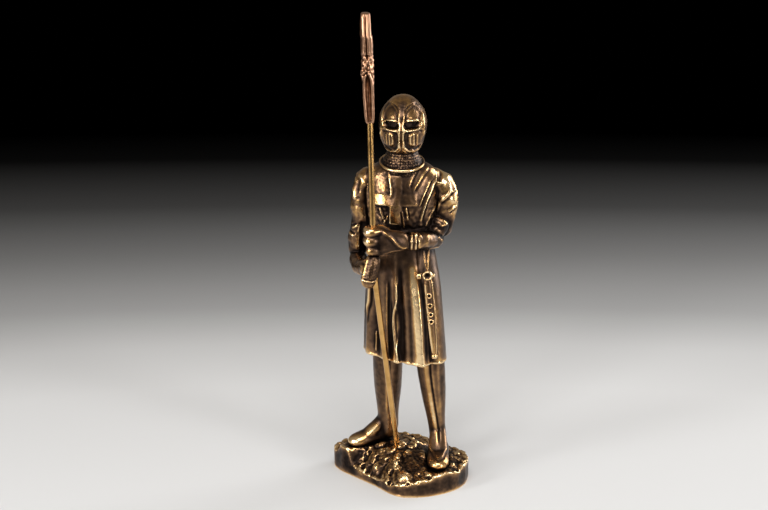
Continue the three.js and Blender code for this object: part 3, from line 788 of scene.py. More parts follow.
def left_arm():
    """The left arm, bent across the body, with the banded edge of its sleeve at the wrist."""
    elbow = at(12.9, 3, 90.4)
    wrist = at(4.6, -10.6, 93)
    shoulder = [at(8.6, 2.2, 113), at(12.2, 2.6, 111.2), at(15, 2.8, 107), at(14.7, 3.2, 98.6)]
    fore = [elbow, at(9.6, -4.6, 91.6), wrist, at(-1, -13.2, 93.6)]
    band = [wrist + at(1, 1, 0), wrist + at(-1, -0.9, 0.1)]
    inner_elbow = [at(14, 0.6, 97.4), at(11.4, -2.4, 92.8)]
    return [
        sleeve(shoulder + [elbow], [3.4, 4.2, 4.7, 4.5, 3.9], [4.2, 4.8, 4.9, 4.4, 4], 7),
        sleeve(fore, [3.8, 3.3, 2.8, 2.7], [3.7, 3.3, 2.8, 2.6], 3),
        limb(band, [3.1, 3.1], [3, 3], blunt=16),
        limb(inner_elbow, [3.6, 3.1], [3.4, 3.1]),
    ]


def right_arm():
    """The right arm, bent so that its hand reaches the spear below the left one."""
    elbow = at(-15.6, 4.4, 83.4)
    upper = [at(-8.4, 2.2, 113.6), at(-11.6, 2.6, 112), at(-13.4, 2.8, 107), at(-13.9, 3.2, 97)]
    upper += [at(-15.2, 4, 89), elbow + at(0.1, 0, -1.6)]
    fore = [elbow, at(-14.2, -4.4, 82), at(-10.4, -13, 85)]
    return [
        sleeve(upper, [3.2, 3.8, 4, 3.7, 3.4, 3.2], [4.2, 4.8, 4.9, 4.4, 3.9, 3.5], 7),
        sleeve(fore, [3.4, 3, 2.7], [3.2, 3.1, 2.9], 2),
    ]


def beside_wire(x, y, height):
    """A point beside the wire above its bend, at a height."""
    share = (height - WIRE_BEND[2]) / (WIRE_HIGH[2] - WIRE_BEND[2])
    return lerp(WIRE_BEND, WIRE_HIGH, share) + at(x, y, 0)


# The left hand's fingers close round the wire from in front, one below the other, with the thumb
# over its top. Knuckles are X and Z of each finger's outermost point, and how thick it is.
KNUCKLES = [(-13.3, 98.1, 1.75), (-13.3, 94.9, 2), (-11.9, 91.6, 1.85)]


def finger(x, z, size):
    """A finger from the palm round the front of the wire and back behind it."""
    wire = beside_wire(0, 0, z)
    out = x + size
    line = [wire + at(3.4, 1.8, -0.6), wire + at(1.2, -1.2, 0), wire + at(-0.9, -2, 0)]
    line += [at(out, wire[1] - 0.8, z), at(out + 0.3, wire[1] + 1.2, z), wire + at(0.2, 2.4, 0)]
    return limb(line, [size * 0.9] + [size] * 4 + [size * 0.8], facing=UP, blunt=4, rings=60)


def left_hand():
    """The left hand: fingers, what they close on, the back of the hand and the thumb."""
    core = [beside_wire(0.4, 0.2, 98), beside_wire(1, 0.2, 93), beside_wire(1.2, 0.2, 89.4)]
    palm = [at(2.4, -11.9, 93.4), at(-2, -14, 93.8), at(-6, -16, 94.2), at(-10, -16, 94.8)]
    thumb = [at(-3.6, -14.2, 96.6), at(-6, -14.8, 98.2), at(-7.8, -15.4, 99.2), at(-9.1, -16.6, 98.6)]
    return [finger(*knuckle) for knuckle in KNUCKLES] + [
        limb(core, [2.7, 2.9, 2.2]),
        limb(palm, [3.3, 4, 4.4, 4.2], [3, 3, 2.7, 2.3], blunt=6, sides=60, rings=60),
        limb(thumb, [1.8, 1.5, 1.25, 1], facing=UP, blunt=3),
    ]


# The gauntlet's flared edge and the edge of the hand below it: height, spread, hollow, X and Z.
GAUNTLET_CREASES = [
    (0.45, 0.6, 0, [(-8.6, 99.4), (-6.3, 98.2), (-3.4, 96), (-1.6, 93.9), (0.4, 92.2), (3, 91.8)]),
    (0.2, 0.4, 0.1, [(1.4, 91.2), (-3.2, 91.2), (-6.4, 90.2), (-9, 89.9)]),
]
MITTEN_CREASES = [
    (0.25, 0.28, 0.15, [(-14.4, 81.6), (-11.4, 81), (-8.2, 80.8)]),
    (0.3, 0.5, 0.08, [(-11.2, 91), (-11.8, 88.3), (-12.7, 85.6), (-13.3, 83.2), (-13.8, 80)]),
]


def fist_relief(points, facing):
    """A gauntlet worn smooth."""
    return 0.03 * perlin(points, 1.1) + front_creases(points, facing, GAUNTLET_CREASES)


def mitten_relief(points, facing):
    """Small rings of mail down to the finger ends."""
    x, y, z = points.T
    rings = 0.06 * mail(x + y + 0.3 * z, z - 0.3 * x, MITTEN_MAIL) * smoothstep(z, 80.6, 81.4)
    return rings + 0.08 * perlin(points, 1.2) + front_creases(points, facing, MITTEN_CREASES)


def right_hand():
    """The right hand hangs over the wire with its fingers down, in a mail mitten."""
    line = [at(-9.2, -15.4, 90), at(-10, -15.9, 86.4), at(-11.2, -16.2, 81.4), at(-11.5, -16, 77.8)]
    widths = [2.3, 2.7, 2.7, 2.3]
    depths = [2.4, 2.9, 3, 2.5]
    return [limb(line, widths, depths, blunt=6, sides=60, rings=60)]


# The sword at the left hip: two hangers that meet, guard with its boss, scabbard and chape.
SWORD_TOP = at(9, -10.9, 80.6)
SWORD_TIP = at(11.6, -11.4, 51)
HANGER_JOIN = at(9, -10.2, 82.4)
BOSS = at(9, -11.3, 80.8)
BOSS_RADIUS = 1.35
EYELETS = (73.6, 70, 66.8, 64.2)
EYELET_RADIUS = 0.7


def sword():
    """The sword in its scabbard, with its hangers, guard, block, boss and the ball on its chape."""

    def down(share):
        return lerp(SWORD_TOP, SWORD_TIP, share)

    def raised_edges(around, share):
        return ridge(around, 64, 12, 0.12) + ridge(around, -62, 12, 0.5)

    hangers = [[at(x, -8.2, 90), at(x * 0.5 + 4.4, -9.6, 85.4), HANGER_JOIN] for x in (7.6, 9.6)]
    scabbard = [down(share) for share in (0, 0.35, 0.7, 1)]
    guard = [at(5.5, -10.4, 80.4), at(9, -10.9, 80.7), at(11.6, -10.4, 80.6)]
    block = [at(5.3, -10.9, 80.5), at(6.9, -11, 80.5)]
    boss = [BOSS + at(0, 0.7, 0), BOSS - at(0, 0.7, 0)]
    return [limb(line, [0.36] * 3) for line in hangers] + [
        limb(scabbard, [1.4, 1.4, 1.2, 0.8], [1.2] * 4, blunt=12, fold=raised_edges),
        limb(guard, [0.75] * 3, blunt=14),
        limb(block, [1.15, 1.15], blunt=20),
        limb(boss, [1.8, 1.8], facing=UP, blunt=10),
        ball(1.15, down(0.99)),
    ]


def eyelet(points, x, z, radius):
    """A raised ring round a hole, by how far a point is from its middle."""
    away = np.hypot(points[:, 0] - x, points[:, 2] - z)
    return 0.35 * ridge_at(away, radius, 0.25) - 0.9 * ridge_at(away, 0, radius * 0.55)


def sword_relief(points, facing):
    """The scabbard's eyelets and the boss's hollow."""
    relief = eyelet(points, BOSS[0], BOSS[2], BOSS_RADIUS)
    for z in EYELETS:
        x = lerp(SWORD_TOP, SWORD_TIP, (SWORD_TOP[2] - z) / (SWORD_TOP[2] - SWORD_TIP[2]))[0]
        relief = relief + eyelet(points, x, z, EYELET_RADIUS)
    return 0.02 * perlin(points, 0.8) + relief * in_front(facing, 0.1)


# The spearhead. Each row is the rise above the socket's mouth, half width and half depth, and how
# far its middle lies to the right of the mouth's.
SPEAR_ROWS = [
    (0, 1.5, 1.5, 0),
    (5, 1.7, 1.8, -0.2),
    (10.8, 1.9, 2.1, -0.5),
    (14.8, 2, 2.3, -0.6),
    (17.4, 2.2, 3, -0.85),
    (19.2, 2.1, 2.8, -0.75),
    (21.4, 1.95, 2.6, -0.8),
    (23.6, 1.8, 2.6, -0.9),
    (24.8, 2.05, 3.4, -1),
    (29.8, 2.05, 4, -1.15),
    (30.8, 1.95, 4, -1.4),
    (34.6, 1.8, 3.2, -1.5),
    (37, 1.65, 2.4, -1.5),
    (38.2, 1.45, 1.6, -1.5),
]

# The socket's mouth, how deep the wire goes into it, and the rises between which the knot lies.
SOCKET_MOUTH = TIP - SPEAR_ROWS[-1][0]
SOCKET_DEPTH = 8
KNOT = (14, 22.6)

# Lines on the spearhead's front: height, spread, hollow beside it, and X and rise from the mouth.
SPEAR_CREASES = [
    (0.4, 0.35, 0.3, [(-1, 19), (-2, 18.2), (-3.1, 17.2)]),
    (0.45, 0.35, -0.4, [(-1, 19), (-0.2, 17.4), (0.5, 15), (0.9, 10), (1, 4), (1.1, 0)]),
    (0.35, 0.35, 0.4, [(-1.2, 18.4), (-1.9, 15), (-2, 11), (-1.6, 5), (-1.2, 0)]),
    (-0.6, 0.4, 0, [(-1.4, 39), (-1.5, 33), (-1.2, 28), (-1.1, 22)]),
]

# Hollows and edges that run its whole length: an angle from the front, a spread, and a height.
SPEAR_FLUTES = [(0, 30, -0.4), (60, 16, 0.15), (-60, 16, 0.15), (180, 30, -0.4)]

# The dark stripe down the socket's front, beside its middle: a painted dark reflection.
SOCKET_DARK_REFLECTION = {"x": -0.5, "half": 0.9, "depth": 0.45}


def spear_blade():
    foot = beside_wire(0, 0, SOCKET_MOUTH)
    sizes = [row[:3] for row in SPEAR_ROWS]
    leans = np.array([(row[3], 0, 0) for row in SPEAR_ROWS], float)

    def middle(share):
        return foot + smooth(leans, share)

    def flutes(around, across, rise):
        return ridges(around, SPEAR_FLUTES)

    return trunk(sizes, middle, sides=160, rings=300, blunt=60, fold=flutes)


def spear_relief(points, facing):
    """A faint roughness, a lumpy knot, and the lines on the front."""
    foot = beside_wire(0, 0, SOCKET_MOUTH)
    x = points[:, 0] - foot[0]
    rise = points[:, 2] - foot[2]
    lumpy = smoothstep(rise, *KNOT) * (1 - smoothstep(rise, KNOT[1], KNOT[1] + 3))
    lines = creases(x, rise, SPEAR_CREASES) * in_front(facing, 0.1)
    return (0.06 + 0.5 * lumpy) * perlin(points, 1.3) + lines


def spear_wire():
    """The wire: straight up to its bend, a short curve there, and straight on into the spearhead."""
    top = beside_wire(0, 0, SOCKET_MOUTH + SOCKET_DEPTH)
    low = WIRE_BEND - unit(WIRE_BEND - WIRE_FOOT) * WIRE_CURVE
    high = WIRE_BEND + unit(top - WIRE_BEND) * WIRE_CURVE
    line = np.vstack([np.linspace(WIRE_FOOT, low, 24), np.linspace(high, top, 24)])

    def place(around, along):
        share = np.clip((along - WIRE_END) / (1 - 2 * WIRE_END), 0, 1)
        size = WIRE_RADIUS * ((along > 0) & (along < 1))
        return swept(line, share, np.sin(around) * size, np.cos(around) * size, FRONT, 1e-3)

    return skin(32, 120, place)


def joined(meshes):
    """Several meshes as one list of points and one of faces."""
    starts = np.cumsum([0] + [len(points) for points, _ in meshes])
    points = np.vstack([points for points, _ in meshes])
    faces = np.vstack([faces + start for (_, faces), start in zip(meshes, starts)])
    return points, faces


def distance_grid(points, cube, **faces):
    """The distance from a closed surface, below 0 inside it, in small cubes."""
    return openvdb.FloatGrid.createLevelSetFromPolygons(
        points.astype(np.float32),
        transform=openvdb.createLinearTransform(voxelSize=cube),
        halfWidth=3,
        **{kind: corners.astype(np.uint32) for kind, corners in faces.items()},
    )


def fused(skins, cube):
    """Overlapping closed skins as one surface of even squares, facing out."""
    points, faces = joined(skins)
    points, squares = distance_grid(points, cube, triangles=faces).convertToQuads()
    return points.astype(float), squares[:, ::-1].astype(int)


def finishes(points, parts):
    """The number of the relief that each point takes, from the skin nearest to it."""
    labels = np.concatenate([np.full(len(places), i) for i, skins in parts for places, _ in skins])
    tree = kdtree.KDTree(len(labels))
    for i, place in enumerate(np.vstack([places for _, skins in parts for places, _ in skins]).tolist()):
        tree.insert(place, i)
    tree.balance()
    return labels[[tree.find(place)[1] for place in points.tolist()]]


def relaxed(points, squares, times):
    """The surface after each point has moved towards its neighbours this many times."""
    start = squares.ravel()
    end = np.roll(squares, -1, axis=1).ravel()
    count = np.bincount(start, minlength=len(points))[:, None]
    points = points.copy()
    for _ in range(times):
        total = [np.bincount(start, points[end, axis], len(points)) for axis in range(3)]
        points = lerp(points, np.stack(total, -1) / count, 0.5)
    return points


def normals(points, squares):
    """Which way the surface faces at each point."""
    a, b, c, d = (points[squares[:, k]] for k in range(4))
    facing = np.cross(c - a, d - b)
    corners = squares.ravel()
    total = [np.bincount(corners, np.repeat(facing[:, k], 4), len(points)) for k in range(3)]
    return unit(np.stack(total, -1) + 1e-12)


def perlin(points, size):
    """Smooth noise between about -1 and 1, with swells about a size across."""
    return np.array([noise.noise(place) for place in (points / size).tolist()])


def make_mesh(name, points, faces):
    mesh = bpy.data.meshes.new(name)
    mesh.from_pydata(points * MM, [], faces)
    mesh.shade_smooth()
    made = bpy.data.objects.new(name, mesh)
    bpy.context.scene.collection.objects.link(made)
    return made


def add_piece(name, points, faces, material, slot, node):
    """A piece of the object, which rides on the one body and stands for a CAD node."""
    made = make_mesh(name, points, faces)
    made.data.materials.append(material)
    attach(made, "root")
    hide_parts(node)
    return made


def set_attribute(made, name, values):
    """A value at each point of a piece, which its material reads."""
    made.data.attributes.new(name, "FLOAT", "POINT").data.foreach_set("value", values.astype(np.float32))


def casting(parts, cube, soft=2):
    """The surface of a cast piece with its fine relief, as points and squares. parts lists a relief
    with the skins that have it, and soft is how far the skins run into each other."""
    points, squares = fused([each for _, skins in parts for each in skins], cube)
    points = relaxed(points, squares, soft)
    facing = normals(points, squares)
    label = finishes(points, [(i, skins) for i, (_, skins) in enumerate(parts)])
    height = np.zeros(len(points))
    for i, (relief, _) in enumerate(parts):
        here = label == i
        height[here] = relief(points[here], facing[here])
    return points + facing * height[:, None], squares


def no_relief(points, facing):
    """A part that stays as smooth as its skin."""
    return 0


def blurred(grid, reach):
    """The grid with each cell the mean of the cells round it, three times over."""
    for _ in range(3):
        for axis in range(3):
            total = np.cumsum(grid, axis=axis)
            grid = (np.roll(total, -reach, axis) - np.roll(total, reach + 1, axis)) / (2 * reach + 1)
    return grid


def fullness(meshes, cell, reach):
    """How full of metal the space round each cell is, from 0 to 1, and where the grid starts."""
    points, squares = joined(meshes)

    # The margin keeps the metal clear of the grid's edges, where the blur wraps round.
    margin = 4 * reach + 2
    low = np.floor(points.min(0) / cell).astype(int) - margin
    high = np.ceil(points.max(0) / cell).astype(int) + margin
    distance = np.zeros(high - low, np.float32)
    distance_grid(points, cell, quads=squares).copyToArray(distance, ijk=tuple(low.tolist()))
    return blurred((distance < 0).astype(np.float32), reach), low * cell


def sampled(grid, low, cell, places):
    """The grid's values at places, mixed between the cells round each."""
    spot = (places - low) / cell
    base = np.floor(spot).astype(int)
    rest = spot - base
    value = np.zeros(len(places))
    for corner in np.ndindex(2, 2, 2):
        share = np.prod(np.where(corner, rest, 1 - rest), axis=1)
        value += share * grid[tuple((base + corner).T)]
    return value


# How bright the flat places of each part are made.
LEVELS = {
    "knight_ground": 0.4,
    "knight_legs": 0.12,
    "knight_skirt": 0.22,
    "knight_sword": -0.2,
    "knight_torso": 0.28,
    "knight_fist": 0.04,
    "knight_mitten": -0.08,
    "knight_head": 0.38,
    "spear_head": 0.02,
}

# Places that differ from the rest of their part: its name, the axis that tells them from it (0 is X
# and 2 is Z), where on it the change starts and ends, and how bright they are made. They are the
# sword's hangers and the neck, made darker, the left sleeve above its elbow, made brighter as a
# painted highlight, and the forearms, made darker as painted shade.
ZONES = [
    ("knight_sword", 2, 82, 84, -0.7),
    ("knight_head", 2, CHIN, CHIN - 3, 0.2),
    ("knight_torso", 0, 10, 12.5, 0.56),
    ("knight_torso", 2, 100, 96, 0.04),
]

# The side of the base, and how far a place there faces up where it is the side and where it is not.
SIDE_LEVEL = 0.02
SIDE_FACING = (0.2, 0.6)

# Strips of painted highlight, or of painted shade below 0, on the front of a part: its name, X and Z
# of the strip's two ends, how far it reaches on each side, and how much brighter it is.
PAINTED_STRIPS = [
    ("knight_skirt", 3.7, 82, 6.7, 47, 1.2, 0.8),
    ("knight_torso", -6.2, 111.2, -6.8, 107.4, 1.9, 0.32),
    ("knight_torso", 12.6, 97.6, 15.6, 95, 2.4, -0.4),
    ("knight_head", -3.6, 141.8, 4.4, 141.8, 1.8, 0.15),
    ("knight_head", 0.3, 135.4, 0.3, 139.4, 1.4, -0.5),
    ("knight_head", 4.5, 140.6, 7, 138, 1.3, -0.4),
    ("knight_fist", -12.4, 98.6, -12, 94, 1.6, 0.3),
    ("knight_mitten", -11.8, 90, -13.6, 80, 0.6, 0.3),
    ("knight_legs", 8.4, 44, 11.4, 24, 1.6, 0.16),
    ("knight_legs", -17.5, 12.4, -9, 17, 1.5, 0.35),
    ("knight_sword", 8, 77, 10.6, 53, 0.4, 0.8),
]


def painted_strip(points, facing, x_from, z_from, x_to, z_to, reach, more):
    """How much a strip of painted highlight, or of painted shade below 0, brightens the front of a part.
    """
    away, _ = beside(points[:, 0], points[:, 2], [(x_from, z_from), (x_to, z_to)])
    return more * ridge_at(away, 0, reach) * in_front(facing, 0.1, 0.5)


def place_level(name, points, facing):
    """How bright a part is made where it is flat, which differs from place to place on some: the
    zones, and a painted dark reflection down the spear socket's front.
    """
    level = LEVELS[name]
    for part, axis, start, end, other in ZONES:
        if part == name:
            level = lerp(level, other, smoothstep(points[:, axis], start, end))
    if name == "knight_ground":
        return lerp(SIDE_LEVEL, level, smoothstep(facing[:, 2], *SIDE_FACING))
    if name == "spear_head":
        foot = beside_wire(0, 0, SOCKET_MOUTH)
        # The socket's front is made darker down a stripe: a painted dark reflection.
        groove = ridge_at(points[:, 0] - foot[0], SOCKET_DARK_REFLECTION["x"], SOCKET_DARK_REFLECTION["half"])
        socket = 1 - smoothstep(points[:, 2] - foot[2], *KNOT)
        return level - SOCKET_DARK_REFLECTION["depth"] * groove * socket
    return level


def flat_level(name, points, facing):
    """How bright a part is made where it is flat, with its strips of painted highlight and painted shade
    added.
    """
    level = place_level(name, points, facing)
    for part, *strip in PAINTED_STRIPS:
        if part == name:
            level = level + painted_strip(points, facing, *strip)
    return level


# What is made bright: proud places are worn bright and hollows keep the dark patina. Each size of
# bump is how often the surface is relaxed to find it, and how much it counts. Metal near by shelters
# a place and darkens it, partly as patina kept in recesses and partly as painted shade: how many
# cells off, and how much that counts.
BUMPS = [(5, 3.0), (30, 1.0), (150, 0.2)]
CELL = 0.5
SHELTER_PATINA_AND_SHADE = [(1, 1.2), (4, 1.5)]


def wear_and_painted_light(meshes):
    """How bright each point of each named mesh is made: 0 at its darkest, in a hollow or in painted
    shade, and 1 where it stands proud or carries a painted highlight.
    """
    grids = [fullness(list(meshes.values()), CELL, reach) for reach, _ in SHELTER_PATINA_AND_SHADE]
    found = {}
    for name, (points, squares) in meshes.items():
        facing = normals(points, squares)
        proud = np.zeros(len(points)) + flat_level(name, points, facing)
        for times, weight in BUMPS:
            proud += weight * np.sum((points - relaxed(points, squares, times)) * facing, axis=1)
        # Metal close by darkens a place: patina kept in recesses, and painted shade.
        for (grid, low), (reach, weight) in zip(grids, SHELTER_PATINA_AND_SHADE):
            proud += weight * (0.5 - sampled(grid, low, CELL, points))
        found[name] = np.clip(proud, 0, 1)
    return found


def linear(colour):
    """A colour written as sRGB hex, as linear red, green, blue and alpha."""
    parts = [int(colour[i : i + 2], 16) / 255 for i in (1, 3, 5)]
    return [c / 12.92 if c <= 0.04045 else ((c + 0.055) / 1.055) ** 2.4 for c in parts] + [1.0]


# Blender's names for the two kinds of node that the materials use most.
NOISE = "ShaderNodeTexNoise"
RAMP = "ShaderNodeValToRGB"


def new_material(name):
    """A metal, with its nodes and its shader."""
    material = bpy.data.materials.new(name)
    material.use_nodes = True
    tree = material.node_tree
    shader = tree.nodes["Principled BSDF"]
    shader.inputs["Metallic"].default_value = 1.0
    return material, tree, shader


def per_size(millimetres):
    """The scale of a pattern whose marks are this far apart."""
    return 1 / (millimetres * MM)


def add_node(tree, kind, links=None, stops=(), **settings):
    """A node with its settings, which are sockets where they name one and properties otherwise, and
    the stops of its ramp, each a place and a hex colour or a grey."""
    made = tree.nodes.new(kind)
    for key, value in settings.items():
        if hasattr(made, key):
            setattr(made, key, value)
        else:
            made.inputs[key.replace("_", " ").title()].default_value = value
    for key, source in (links or {}).items():
        tree.links.new(source, made.inputs[key])
    for i, (place, colour) in enumerate(stops):
        element = made.color_ramp.elements[i] if i < 2 else made.color_ramp.elements.new(place)
        element.position = place
        element.color = linear(colour) if isinstance(colour, str) else (colour, colour, colour, 1)
    return made


# How each metal looks from its darkest, most stained or in painted shade, to its palest, bare or in a
# painted highlight.
BRASS_STAIN_AND_LIGHT = [
    (0.06, "#1d1613"),
    (0.3, "#4a392d"),
    (0.55, "#83654a"),
    (0.8, "#cda065"),
    (1.0, "#f6d6a4"),
]
BRONZE_STAIN_AND_LIGHT = [(0.4, "#2a160d"), (0.7, "#6e452c"), (1.0, "#b98d6f")]
WIRE_TARNISH = [(0.35, "#b48a50"), (0.6, "#dcae6c")]

# How rough the castings are over the same run, and the wire from the foot of a draw line to its crest.
BRASS_GLOSS = [(0.1, 0.46), (0.6, 0.26)]
BRONZE_GLOSS = [(0.2, 0.45), (0.8, 0.28)]
WIRE_GLOSS = [(0.3, 0.16), (0.7, 0.28)]

# The size of the marks on each metal in millimetres, from how many lie in 100 mm: clouds and blotches
# of stain, the grain of the cast skin, and the lines that the drawing die leaves. The grain and the
# lines are drawn as coarse as they need to show. The lines are stretched along the wire by a share.
CLOUD = 100 / 42
BLOTCH = 100 / 9
GRAIN = 100 / 140
TARNISH = 100 / 16
DRAW_LINE = 100 / 260
DRAW_STRETCH = 0.03
BRONZE_CLOUD = 100 / 30
GRAIN_DEPTH = 0.12

# How much of the grain's depth shows, and how far clouds and blotches shift the stain.
GRAIN_STRENGTH = 0.25
UNEVEN = 0.36


def cast_brass():
    """Cast brass, stained dark brown and worn: hollows keep the stain and a dull skin, and the
    proud places are bare, golden and glossy. Its bright attribute also carries painted highlights and
    painted shade."""
    material, tree, shader = new_material("cast_brass")
    place = add_node(tree, "ShaderNodeTexCoord").outputs["Object"]
    bright = add_node(tree, "ShaderNodeAttribute", attribute_name="bright").outputs["Fac"]
    cloud = add_node(tree, NOISE, {"Vector": place}, Scale=per_size(CLOUD), Detail=5.0, Roughness=0.6)
    blotch = add_node(tree, NOISE, {"Vector": place}, Scale=per_size(BLOTCH), Detail=3.0)
    both = {0: cloud.outputs["Fac"], 1: blotch.outputs["Fac"]}
    uneven = add_node(tree, "ShaderNodeMath", both, operation="ADD")
    spread = add_node(tree, "ShaderNodeMath", {0: uneven.outputs[0]}, operation="MULTIPLY_ADD")
    spread.inputs[1].default_value = UNEVEN
    spread.inputs[2].default_value = -UNEVEN
    bare = add_node(tree, "ShaderNodeMath", {0: bright, 1: spread.outputs[0]}, operation="ADD")
    colour = add_node(tree, RAMP, {"Fac": bare.outputs[0]}, BRASS_STAIN_AND_LIGHT)
    tree.links.new(colour.outputs["Color"], shader.inputs["Base Color"])
    gloss = add_node(tree, RAMP, {"Fac": bare.outputs[0]}, BRASS_GLOSS)
    tree.links.new(gloss.outputs["Color"], shader.inputs["Roughness"])
    grain = add_node(tree, NOISE, {"Vector": place}, Scale=per_size(GRAIN), Detail=4.0)
    height = {"Height": grain.outputs["Fac"]}
    depth = GRAIN_DEPTH * MM
    bump = add_node(tree, "ShaderNodeBump", height, Strength=GRAIN_STRENGTH, Distance=depth)
    tree.links.new(bump.outputs["Normal"], shader.inputs["Normal"])
    return material


def brass_wire():
    """Drawn brass wire: bright yellow, with faint draw lines along it and a light tarnish."""
    material, tree, shader = new_material("brass_wire")
    place = add_node(tree, "ShaderNodeTexCoord").outputs["Object"]
    lines = add_node(tree, "ShaderNodeMapping", {"Vector": place})
    lines.inputs["Scale"].default_value = (1, 1, DRAW_STRETCH)
    along = {"Vector": lines.outputs[0]}
    streak = add_node(tree, NOISE, along, Scale=per_size(DRAW_LINE), Detail=3.0)
    stain = add_node(tree, NOISE, {"Vector": place}, Scale=per_size(TARNISH), Detail=4.0)
    colour = add_node(tree, RAMP, {"Fac": stain.outputs["Fac"]}, WIRE_TARNISH)
    tree.links.new(colour.outputs["Color"], shader.inputs["Base Color"])
    gloss = add_node(tree, RAMP, {"Fac": streak.outputs["Fac"]}, WIRE_GLOSS)
    tree.links.new(gloss.outputs["Color"], shader.inputs["Roughness"])
    return material


def cast_bronze():
    """Cast bronze, redder and duller than the brass, with a thin brown stain in its low places, painted
    shade where metal is close by, and a painted dark reflection down the socket's front.
    """
    material, tree, shader = new_material("cast_bronze")
    place = add_node(tree, "ShaderNodeTexCoord").outputs["Object"]
    bright = add_node(tree, "ShaderNodeAttribute", attribute_name="bright").outputs["Fac"]
    cloud = add_node(tree, NOISE, {"Vector": place}, Scale=per_size(BRONZE_CLOUD), Detail=5.0)
    bare = add_node(tree, "ShaderNodeMath", {0: bright, 1: cloud.outputs["Fac"]}, operation="ADD")
    colour = add_node(tree, RAMP, {"Fac": bare.outputs[0]}, BRONZE_STAIN_AND_LIGHT)
    tree.links.new(colour.outputs["Color"], shader.inputs["Base Color"])
    gloss = add_node(tree, RAMP, {"Fac": bare.outputs[0]}, BRONZE_GLOSS)
    tree.links.new(gloss.outputs["Color"], shader.inputs["Roughness"])
    return material


# The sheet's grey by how far it lies from the object, in metres: a painted pool of light, pale under
# the object, and its painted falloff to black. Distances to the side count for less by a share, so
# the pale part is wider than it is deep. The sheet reaches half its side each way.
SHEET_SIDEWAYS = 0.4
SHEET_HALF = 3000.0
SHEET_LIGHT_POOL = [
    (0.03, "#d2d2d2"),
    (0.1, "#d0d0d0"),
    (0.15, "#c0c0c0"),
    (0.2, "#9b9b9b"),
    (0.28, "#737373"),
    (0.365, "#414141"),
    (0.46, "#0d0d0d"),
    (0.52, "#000000"),
]


def floor_sheet():
    """A matt sheet with painted light: pale under the object as a pool of light, and dark far from it as
    the light falls off.
    """
    material, tree, shader = new_material("sheet_painted_light_pool")
    shader.inputs["Metallic"].default_value = 0.0
    shader.inputs["Roughness"].default_value = 0.5
    shader.inputs["Specular IOR Level"].default_value = 0.0
    place = add_node(tree, "ShaderNodeTexCoord").outputs["Object"]
    squeeze = add_node(tree, "ShaderNodeMapping", {"Vector": place})
    squeeze.inputs["Scale"].default_value = (SHEET_SIDEWAYS, 1, 1)
    away = add_node(tree, "ShaderNodeVectorMath", {0: squeeze.outputs[0]}, operation="LENGTH")
    fade = add_node(tree, RAMP, {"Fac": away.outputs["Value"]}, SHEET_LIGHT_POOL)
    tree.links.new(fade.outputs["Color"], shader.inputs["Base Color"])
    corners = SHEET_HALF * np.array([(-1, -1, 0), (1, -1, 0), (1, 1, 0), (-1, 1, 0)])
    floor = make_mesh("floor", corners, [(0, 1, 2, 3)])
    floor.data.materials.append(material)


# The camera looks along +Y and down at a target. Its lens frames the photograph's 768 by 510 pixels.
VIEW_TARGET = at(-6, 0, 84.75)
VIEW_FALL = math.radians(17)
VIEW_AWAY = 800
VIEW_LENS = 107.14
VIEW_SENSOR = 36


def add_camera():
    data = bpy.data.cameras.new("camera")
    data.lens = VIEW_LENS
    data.sensor_width = VIEW_SENSOR
    data.clip_start = 0.01
    data.clip_end = 20
    camera = bpy.data.objects.new("camera", data)
    bpy.context.scene.collection.objects.link(camera)
    back = Vector((0, -math.cos(VIEW_FALL), math.sin(VIEW_FALL)))
    camera.location = Vector(VIEW_TARGET * MM) + back * VIEW_AWAY * MM
    camera.rotation_mode = "QUATERNION"
    camera.rotation_quaternion = (-back).to_track_quat("-Z", "Y")
    bpy.context.scene.camera = camera


# The studio: each soft box's name, place and size in millimetres, and its power in watts. All are
# turned to the figure's middle. The room round them is a dim warm grey.
SOFT_BOXES = [
    ("left_box", (-620, -400, 210), (200, 560), 4.3),
    ("front_box", (-390, -700, 300), (110, 400), 1.6),
    ("right_box", (560, -480, 200), (150, 400), 2.9),
    ("back_box", (560, 330, 230), (260, 520), 3.2),
    ("top_box", (0, -420, 720), (460, 340), 3.8),
]
LIT_MIDDLE = Vector((0, 0, 80))
ROOM_COLOUR = "#9a938a"
ROOM_STRENGTH = 0.7


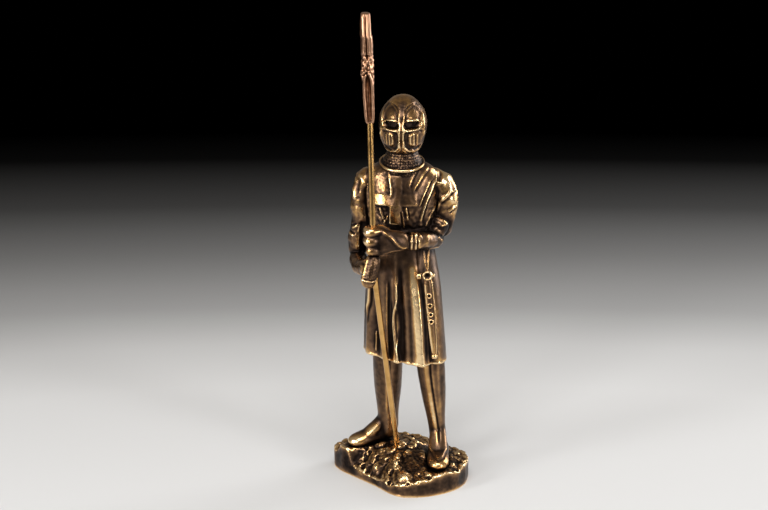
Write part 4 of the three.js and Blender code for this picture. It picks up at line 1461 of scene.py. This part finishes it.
def soft_box(name, place, size, power):
    data = bpy.data.lights.new(name, "AREA")
    data.shape = "RECTANGLE"
    data.size = size[0] * MM
    data.size_y = size[1] * MM
    data.energy = power
    light = bpy.data.objects.new(name, data)
    bpy.context.scene.collection.objects.link(light)
    light.location = Vector(place) * MM
    light.rotation_mode = "QUATERNION"
    light.rotation_quaternion = (LIT_MIDDLE - Vector(place)).to_track_quat("-Z", "Y")


def add_lights():
    for box in SOFT_BOXES:
        soft_box(*box)
    world = bpy.data.worlds.new("room")
    world.use_nodes = True
    background = world.node_tree.nodes["Background"]
    background.inputs["Color"].default_value = linear(ROOM_COLOUR)
    background.inputs["Strength"].default_value = ROOM_STRENGTH
    bpy.context.scene.world = world
    bpy.context.scene.view_settings.view_transform = "Standard"


def knight_castings():
    """The one casting, made as surfaces that meet where cloth, hands and feet overlap."""
    legs = [leg(*LEFT_LEG), leg(*RIGHT_LEG)]
    feet = shoe(LEFT_SHOE, LEFT_INSTEP) + shoe(RIGHT_SHOE, RIGHT_INSTEP)
    torso = [(coat_relief, [chest(), belt()]), (sleeve_relief, left_arm() + right_arm())]
    head = [(neck_relief, [neck()]), (no_relief, [collar()]), (helm_relief, [helm()])]
    return {
        "knight_ground": casting([(ground_relief, [ground_base()])], COARSE),
        "knight_legs": casting([(leg_relief, legs + feet)], COARSE, soft=16),
        "knight_skirt": casting([(skirt_relief, [skirt()])], COARSE),
        "knight_sword": casting([(sword_relief, sword())], FINE),
        "knight_torso": casting(torso, COARSE, soft=3),
        "knight_fist": casting([(fist_relief, left_hand())], FINE, soft=44),
        "knight_mitten": casting([(mitten_relief, right_hand())], FINE, soft=8),
        "knight_head": casting(head, FINE),
    }


add_camera()
floor_sheet()
add_lights()

knight = knight_castings()
blade = casting([(spear_relief, [spear_blade()])], FINE)
wire = spear_wire()
# The bright value: wear and patina, with painted highlights and painted shade.
bright = wear_and_painted_light({**knight, "spear_head": blade})

brass = cast_brass()
for name, surface in knight.items():
    set_attribute(add_piece(name, *surface, brass, "cast_brass", "knight"), "bright", bright[name])
spear_head = add_piece("spear_head", *blade, cast_bronze(), "cast_bronze", "spearhead")
set_attribute(spear_head, "bright", bright["spear_head"])
add_piece("spear_wire", *wire, brass_wire(), "brass_wire", "pole")
